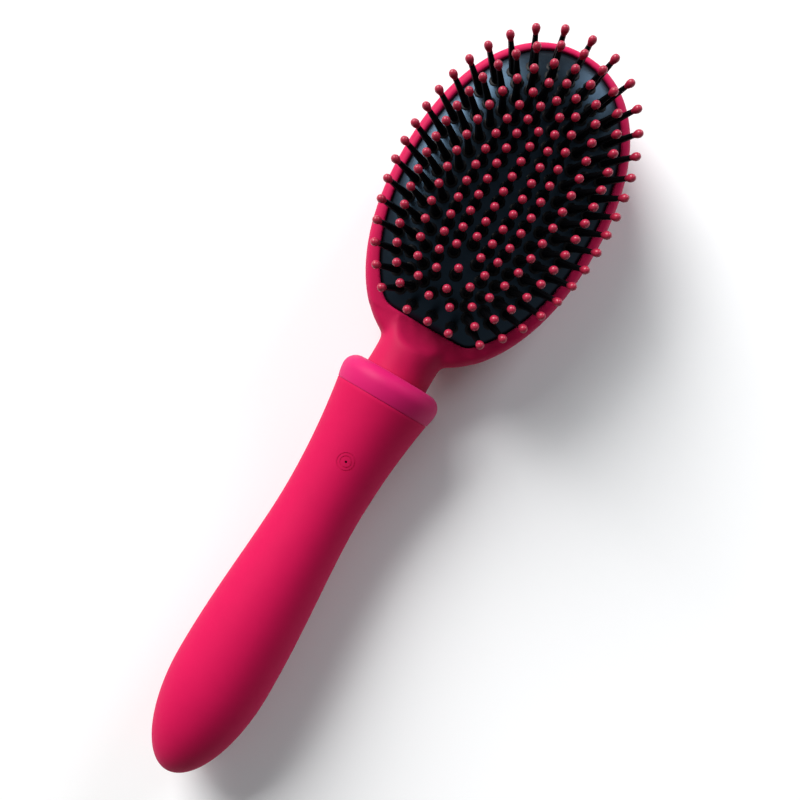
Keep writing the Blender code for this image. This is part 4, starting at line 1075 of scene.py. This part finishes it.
    def _stand(self, x: float, y: float, towards: Vector, lean: float) -> Matrix:
        """Where one pin stands and how it leans.

        Args:
            x: Place of its foot across the brush.
            y: Place of its foot along the brush.
            towards: The level direction that it leans in.
            lean: How far a pin at the cushion's side would lean there.

        Returns:
            A matrix that turns the upright to the pin's line.
        """
        share = self.tip_lean_share if towards.y > 0.0 else self.neck_lean_share
        lean *= math.hypot(towards.x, towards.y * share)
        line = UP * math.cos(lean) + towards * math.sin(lean)
        turn = UP.rotation_difference(line).to_matrix().to_4x4()
        return Matrix.Translation((x, y, self.crown_at(x, y))) @ turn

    def pin_places(self) -> list[Matrix]:
        """Where all pins stand, ring by ring from the outside, then down the centre column.

        Returns:
            A matrix for each pin.
        """
        places = []
        shoulder_share = self.shoulder_width / self.pad.half_width
        for ring in self.pin_rings:
            lean = self.shoulder_slope * max(0.0, 1.0 - ring.inset_share / shoulder_share)
            tip_y = self.pad.tip_reach * (1.0 - ring.setback_share)
            places.append(self._stand(0.0, tip_y, ALONG, lean))
            for foot, outward in spread(self._ring_path(ring), ring.side_pins, ring.looseness):
                for side in (1.0, -1.0):
                    towards = Vector((outward.x * side, outward.y, 0.0))
                    places.append(self._stand(foot.x * side, foot.y, towards, lean))
            for pin in range(ring.floor_pins):
                x = self.floor_pitch * (pin - (ring.floor_pins - 1) / 2)
                slope = min(self.floor_lean / self.neck_lean_share, lean)
                places.append(self._stand(x, -self.edge_reach() * ring.floor_share, -ALONG, slope))
        top, bottom = self.column_ends
        for pin in range(self.column_pins):
            y = top + (bottom - top) * pin / (self.column_pins - 1)
            places.append(self._stand(0.0, y, ALONG, 0.0))
        return places


@dataclass
class Handle:
    """The handle: its collar, its soft sleeve with the charge port, and the button on its back."""

    # Sleeve, with its steps as (down to the belly, round the end)
    seam_y: float = -0.0679
    seam_half: float = 0.00007
    waist_y: float = -0.1040
    belly_y: float = -0.1610
    end_y: float = -0.1945
    shoulder: float = 0.0151
    waist: float = 0.0121
    belly: float = 0.01495
    belly_power: float = 0.88
    wall: float = 0.0018
    sleeve_round: float = 0.00014
    skin_steps: tuple[int, int] = (90, 30)
    lining_steps: tuple[int, int] = (20, 10)
    sides: int = 144
    sleeve_crease: float = 40.0
    # Collar
    top_y: float = -0.0595
    collar_radius: float = 0.01585
    collar_seam_radius: float = 0.01522
    collar_round: float = 0.0042
    collar_bore: float = 0.01025
    collar_recess: float = 0.0133
    collar_wall: float = 0.0018
    bore_round: float = 0.0004
    edge_round: float = 0.00012
    lip_inset: float = 0.00018
    taper_power: float = 1.6
    taper_steps: int = 8
    # Charge port
    port_y: float = -0.0881
    port_rings: tuple[float, ...] = (0.00165, 0.00258)
    groove_width: float = 0.00032
    groove_depth: float = 0.00013
    cutter_rise: float = 0.001
    cutter_sides: int = 64
    pin_hole: float = 0.00036
    pin_hole_sides: int = 24
    drill_length: float = 0.02
    # Button
    button_y: float = -0.0940
    button_radius: float = 0.0040
    button_round: float = 0.0008
    button_sides: int = 64
    button_crease: float = 50.0
    button_hole_sides: int = 48
    dish_depth: float = 0.0004
    dish_steps: int = 8
    stem_radius: float = 0.0016
    ledge_radius: float = 0.0050
    ledge_thickness: float = 0.0008
    ledge_inset: float = 0.0016

    def build(self) -> None:
        """Builds and dresses the collar, the sleeve and the button."""
        dress(self.collar(), COLLAR_PLASTIC, "brush_body", ["collar"])
        dress(self.sleeve(), SILICONE, "brush_body", ["handle_sleeve"], self.sleeve_crease)
        dress(self.button(), HEAD_PLASTIC, "button", ["power_button"], self.button_crease)

    def radius(self, y: float, inset: float = 0.0) -> float:
        """Radius of the sleeve's skin.

        Args:
            y: Place along the handle.
            inset: How far inside the skin to measure.

        Returns:
            The radius.
        """
        if y >= self.waist_y:
            part = min(1.0, (y - self.waist_y) / (self.seam_y - self.waist_y))
            return self.waist + (self.shoulder - self.waist) * part**2 - inset
        if y >= self.belly_y:
            part = ((self.waist_y - y) / (self.waist_y - self.belly_y)) ** self.belly_power
            return self.waist + (self.belly - self.waist) * (1.0 - math.cos(math.pi * part)) / 2 - inset
        part = min(1.0, (self.belly_y - y) / (self.belly_y - self.end_y - inset))
        return (self.belly - inset) * math.sqrt(1.0 - part**2)

    def collar(self) -> Item:
        """The rounded cap that closes the top of the handle.

        Returns:
            The collar.
        """
        start = (self.top_y - self.bore_round, self.collar_bore)
        profile = rounded(start, (self.top_y, self.collar_bore + self.bore_round), False, steps=4)
        flat = self.collar_radius - self.collar_round
        bulge_y = self.top_y - self.collar_round
        profile += rounded((self.top_y, flat), (bulge_y, self.collar_radius), True, steps=14)
        end_y = self.seam_y + self.seam_half
        edge_y = end_y + self.edge_round
        narrowing = self.collar_seam_radius - self.collar_radius
        for step in range(1, self.taper_steps + 1):
            part = step / self.taper_steps
            radius = self.collar_radius + narrowing * part**self.taper_power
            profile.append((bulge_y + (edge_y - bulge_y) * part, radius))
        edge = self.collar_seam_radius - self.edge_round
        profile += rounded((edge_y, self.collar_seam_radius), (end_y, edge), False, steps=3)[1:]
        under = self.top_y - self.collar_wall
        lip = self.shoulder - self.lip_inset
        foot = self.seam_y - self.seam_half
        profile += [(end_y, lip), (foot, lip), (foot, self.collar_recess)]
        profile += [(under, self.collar_recess), (under, self.collar_bore)]
        return linked("collar_cap", turned(profile, self.sides))

    def _skin(self, start: float, inset: float, steps: tuple[int, int]) -> Points:
        """One of the sleeve's two skins.

        Args:
            start: Where it starts along the handle.
            inset: How far inside the outer skin it lies.
            steps: Its steps down to the belly, and round the end.

        Returns:
            Its profile, from its start to the end on the axis.
        """
        side_steps, end_steps = steps
        points = []
        for step in range(side_steps):
            y = start + (self.belly_y - start) * step / side_steps
            points.append((y, self.radius(y, inset)))
        length = self.belly_y - self.end_y - inset
        for step in range(end_steps):
            turn = QUARTER * step / end_steps
            points.append((self.belly_y - length * math.sin(turn), (self.belly - inset) * math.cos(turn)))
        return [*points, (self.end_y + inset, 0.0)]

    def sleeve(self) -> Item:
        """The soft skin of the handle, with the rings and hole of its port and the button's hole.

        Returns:
            The sleeve.
        """
        top = self.seam_y - self.seam_half
        start = top - self.sleeve_round
        outside = self.radius(top)
        outer = rounded((top, outside - self.sleeve_round), (start, outside), True, steps=4)
        outer += self._skin(start, 0.0, self.skin_steps)[1:]
        inner = [(top, self.radius(top, self.wall)), *self._skin(start, self.wall, self.lining_steps)[1:]]
        sleeve = linked("soft_sleeve", turned([*outer[::-1], *inner], self.sides))
        for radius in self.port_rings:
            fuse(sleeve, "ring_cutter", self._ring_cutter(radius), Fuse.CUT)
        drill = UP * self.drill_length
        port = ALONG * self.port_y
        fuse(sleeve, "pin_hole", rod(port, port + drill, self.pin_hole, self.pin_hole_sides), Fuse.CUT)
        button = ALONG * self.button_y
        hole = rod(button - drill, button, self.button_radius + GAP, self.button_hole_sides)
        fuse(sleeve, "button_hole", hole, Fuse.CUT)
        return sleeve

    def _ring_cutter(self, radius: float) -> Shape:
        """A ring of square section that dips into the sleeve's skin round the port.

        Args:
            radius: The ring's radius.

        Returns:
            The ring.
        """
        inside = radius - self.groove_width / 2
        outside = radius + self.groove_width / 2
        rise = self.cutter_rise
        section = [(-rise, inside), (-rise, outside), (rise, outside), (rise, inside)]
        shape = turned(section, self.cutter_sides, ALONG * self.port_y, UP)
        for point in shape.verts:
            skin = math.sqrt(self.radius(point.co.y) ** 2 - point.co.x**2)
            point.co.z = skin + (rise if point.co.z > 0.0 else -self.groove_depth)
        return shape

    def button(self) -> Item:
        """The push button, with a shallow dish for the finger.

        Returns:
            The button.
        """
        low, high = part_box("power_button")
        face = AXIS_HEIGHT - low.z
        stem = AXIS_HEIGHT - high.z
        inside = self.radius(self.button_y, self.wall + GAP + self.ledge_inset)
        ledge = math.sqrt(inside**2 - self.ledge_radius**2) - GAP
        back = ledge - self.ledge_thickness
        profile = [(stem, 0.0), (stem, self.stem_radius), (back, self.stem_radius)]
        profile += [(back, self.ledge_radius), (ledge, self.ledge_radius), (ledge, self.button_radius)]
        edge = self.button_radius - self.button_round
        profile += rounded((face - self.button_round, self.button_radius), (face, edge), False, steps=6)
        for step in range(1, self.dish_steps + 1):
            part = step / self.dish_steps
            profile.append((face - self.dish_depth * math.sin(QUARTER * part), edge * (1.0 - part)))
        return linked("button_cap", turned(profile, self.button_sides, ALONG * self.button_y, -UP))


@dataclass
class Insides:
    """What the handle holds: the nodes of the frame in their finishes, and the cell's foam pad."""

    pad_round: float = 0.0005
    pad_round_steps: int = 3

    def build(self) -> None:
        """Dresses every node that is kept, and builds the foam pad."""
        for name, finish in FRAME_FINISHES.items():
            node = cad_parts[name]
            node.data.materials.clear()
            node.data.materials.append(finish.material())
            LOG.info("%s: %s", name, finish.name)
        pad = dress(self.pad(), FOAM, "brush_body", ["battery_pad"])

    def pad(self) -> Item:
        """The foam pad under the cell, with soft edges.

        Returns:
            The pad.
        """
        low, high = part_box("battery_pad")
        middle = (low + high) / 2 - UP * AXIS_HEIGHT
        shape = bmesh.new()
        bmesh.ops.create_cube(shape, size=1.0)
        bmesh.ops.scale(shape, vec=high - low, verts=shape.verts)
        bmesh.ops.bevel(
            shape, geom=shape.edges, offset=self.pad_round, affect="EDGES", segments=self.pad_round_steps,
            profile=0.5, material=-1,
        )
        bmesh.ops.translate(shape, vec=middle, verts=shape.verts)
        return linked("cell_foam", shape)


@dataclass(frozen=True)
class Softbox:
    """A square lamp that faces the brush.

    It stands at heading degrees from +Y towards +X and height degrees above the floor, at a distance
    from what it faces.
    """

    name: str
    heading: float
    height: float
    distance: float
    size: float
    power: float
    colour: Colour

    def build(self, aim: Vector) -> None:
        """Puts the lamp in the scene.

        Args:
            aim: The point that it faces.
        """
        light = bpy.data.lights.new(self.name, "AREA")
        light.shape = "SQUARE"
        light.size = self.size
        light.energy = self.power
        light.color = self.colour
        item = placed(self.name, light)
        turn = math.radians(self.heading)
        rise = math.radians(self.height)
        away = Vector((math.sin(turn) * math.cos(rise), math.cos(turn) * math.cos(rise), math.sin(rise)))
        item.location = aim + away * self.distance
        item.rotation_euler = away.to_track_quat("Z", "Y").to_euler()


@dataclass
class Studio:
    """The pale floor, the soft lamps and the camera that looks straight down."""

    roll: float = math.radians(30.37)
    centre: tuple[float, float] = (0.0044, -0.0650)
    camera_height: float = 0.351
    lens: float = 50.7
    sensor: float = 36.0
    clip: float = 0.01
    floor_size: float = 3.0
    floor_lit: Colour = (0.80, 0.80, 0.80)
    floor_seen: Colour = WHITE
    floor_roughness: float = 0.9
    world_level: float = 0.15
    world_seen: float = 0.40
    aim_y: float = -0.07
    lamps: tuple[Softbox, ...] = (
        Softbox("key", -60.0, 31.0, 4.0, 2.5, 284.0, WHITE),
        Softbox("tip_softbox", 15.0, 24.0, 1.2, 0.50, 5.6, (0.86, 0.93, 1.0)),
    )

    def build(self) -> None:
        """Builds the floor, the lamps, the world and the camera."""
        scene = bpy.context.scene
        scene.view_settings.view_transform = "Standard"
        self.floor()
        for lamp in self.lamps:
            lamp.build(ALONG * self.aim_y)
        self.world()
        scene.camera = self.camera()

    def floor(self) -> None:
        """A plain white floor."""
        shape = bmesh.new()
        bmesh.ops.create_grid(shape, x_segments=1, y_segments=1, size=self.floor_size / 2)
        bmesh.ops.translate(shape, vec=-UP * AXIS_HEIGHT, verts=shape.verts)
        floor = linked("floor", shape)
        material = bpy.data.materials.new("floor_white")
        material.use_nodes = True
        net = NodeNet(material.node_tree)
        shader = net.shader.inputs
        net.feed(shader["Base Color"], net.blend(net.seen(), self.floor_lit, self.floor_seen))
        net.feed(shader["Roughness"], self.floor_roughness)
        net.feed(shader["Specular IOR Level"], 0.0)
        floor.data.materials.append(material)

    def world(self) -> None:
        """A plain surround, which looks paler than it lights."""
        world = bpy.data.worlds.new("studio")
        world.use_nodes = True
        net = NodeNet(world.node_tree)
        back = net.tree.nodes["Background"].inputs
        net.feed(back["Color"], (*WHITE, 1.0))
        level = net.seen() * (self.world_seen - self.world_level) + self.world_level
        net.feed(back["Strength"], level)
        bpy.context.scene.world = world

    def camera(self) -> Item:
        """The camera, above the brush and looking straight down.

        Returns:
            The camera.
        """
        data = bpy.data.cameras.new("camera")
        data.lens = self.lens
        data.sensor_width = self.sensor
        data.clip_start = self.clip
        item = placed("camera", data)
        item.location = (*self.centre, self.camera_height)
        item.rotation_euler = (0.0, 0.0, self.roll)
        return item


def main() -> None:
    """Builds every sub-assembly in order."""
    logging.basicConfig(level=logging.INFO, format="%(name)s: %(message)s")
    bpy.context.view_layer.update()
    for part in (BrushHead(), Handle(), Insides(), Studio()):
        LOG.info("building %s", type(part).__name__)
        part.build()


if __name__ == "__main__":
    main()
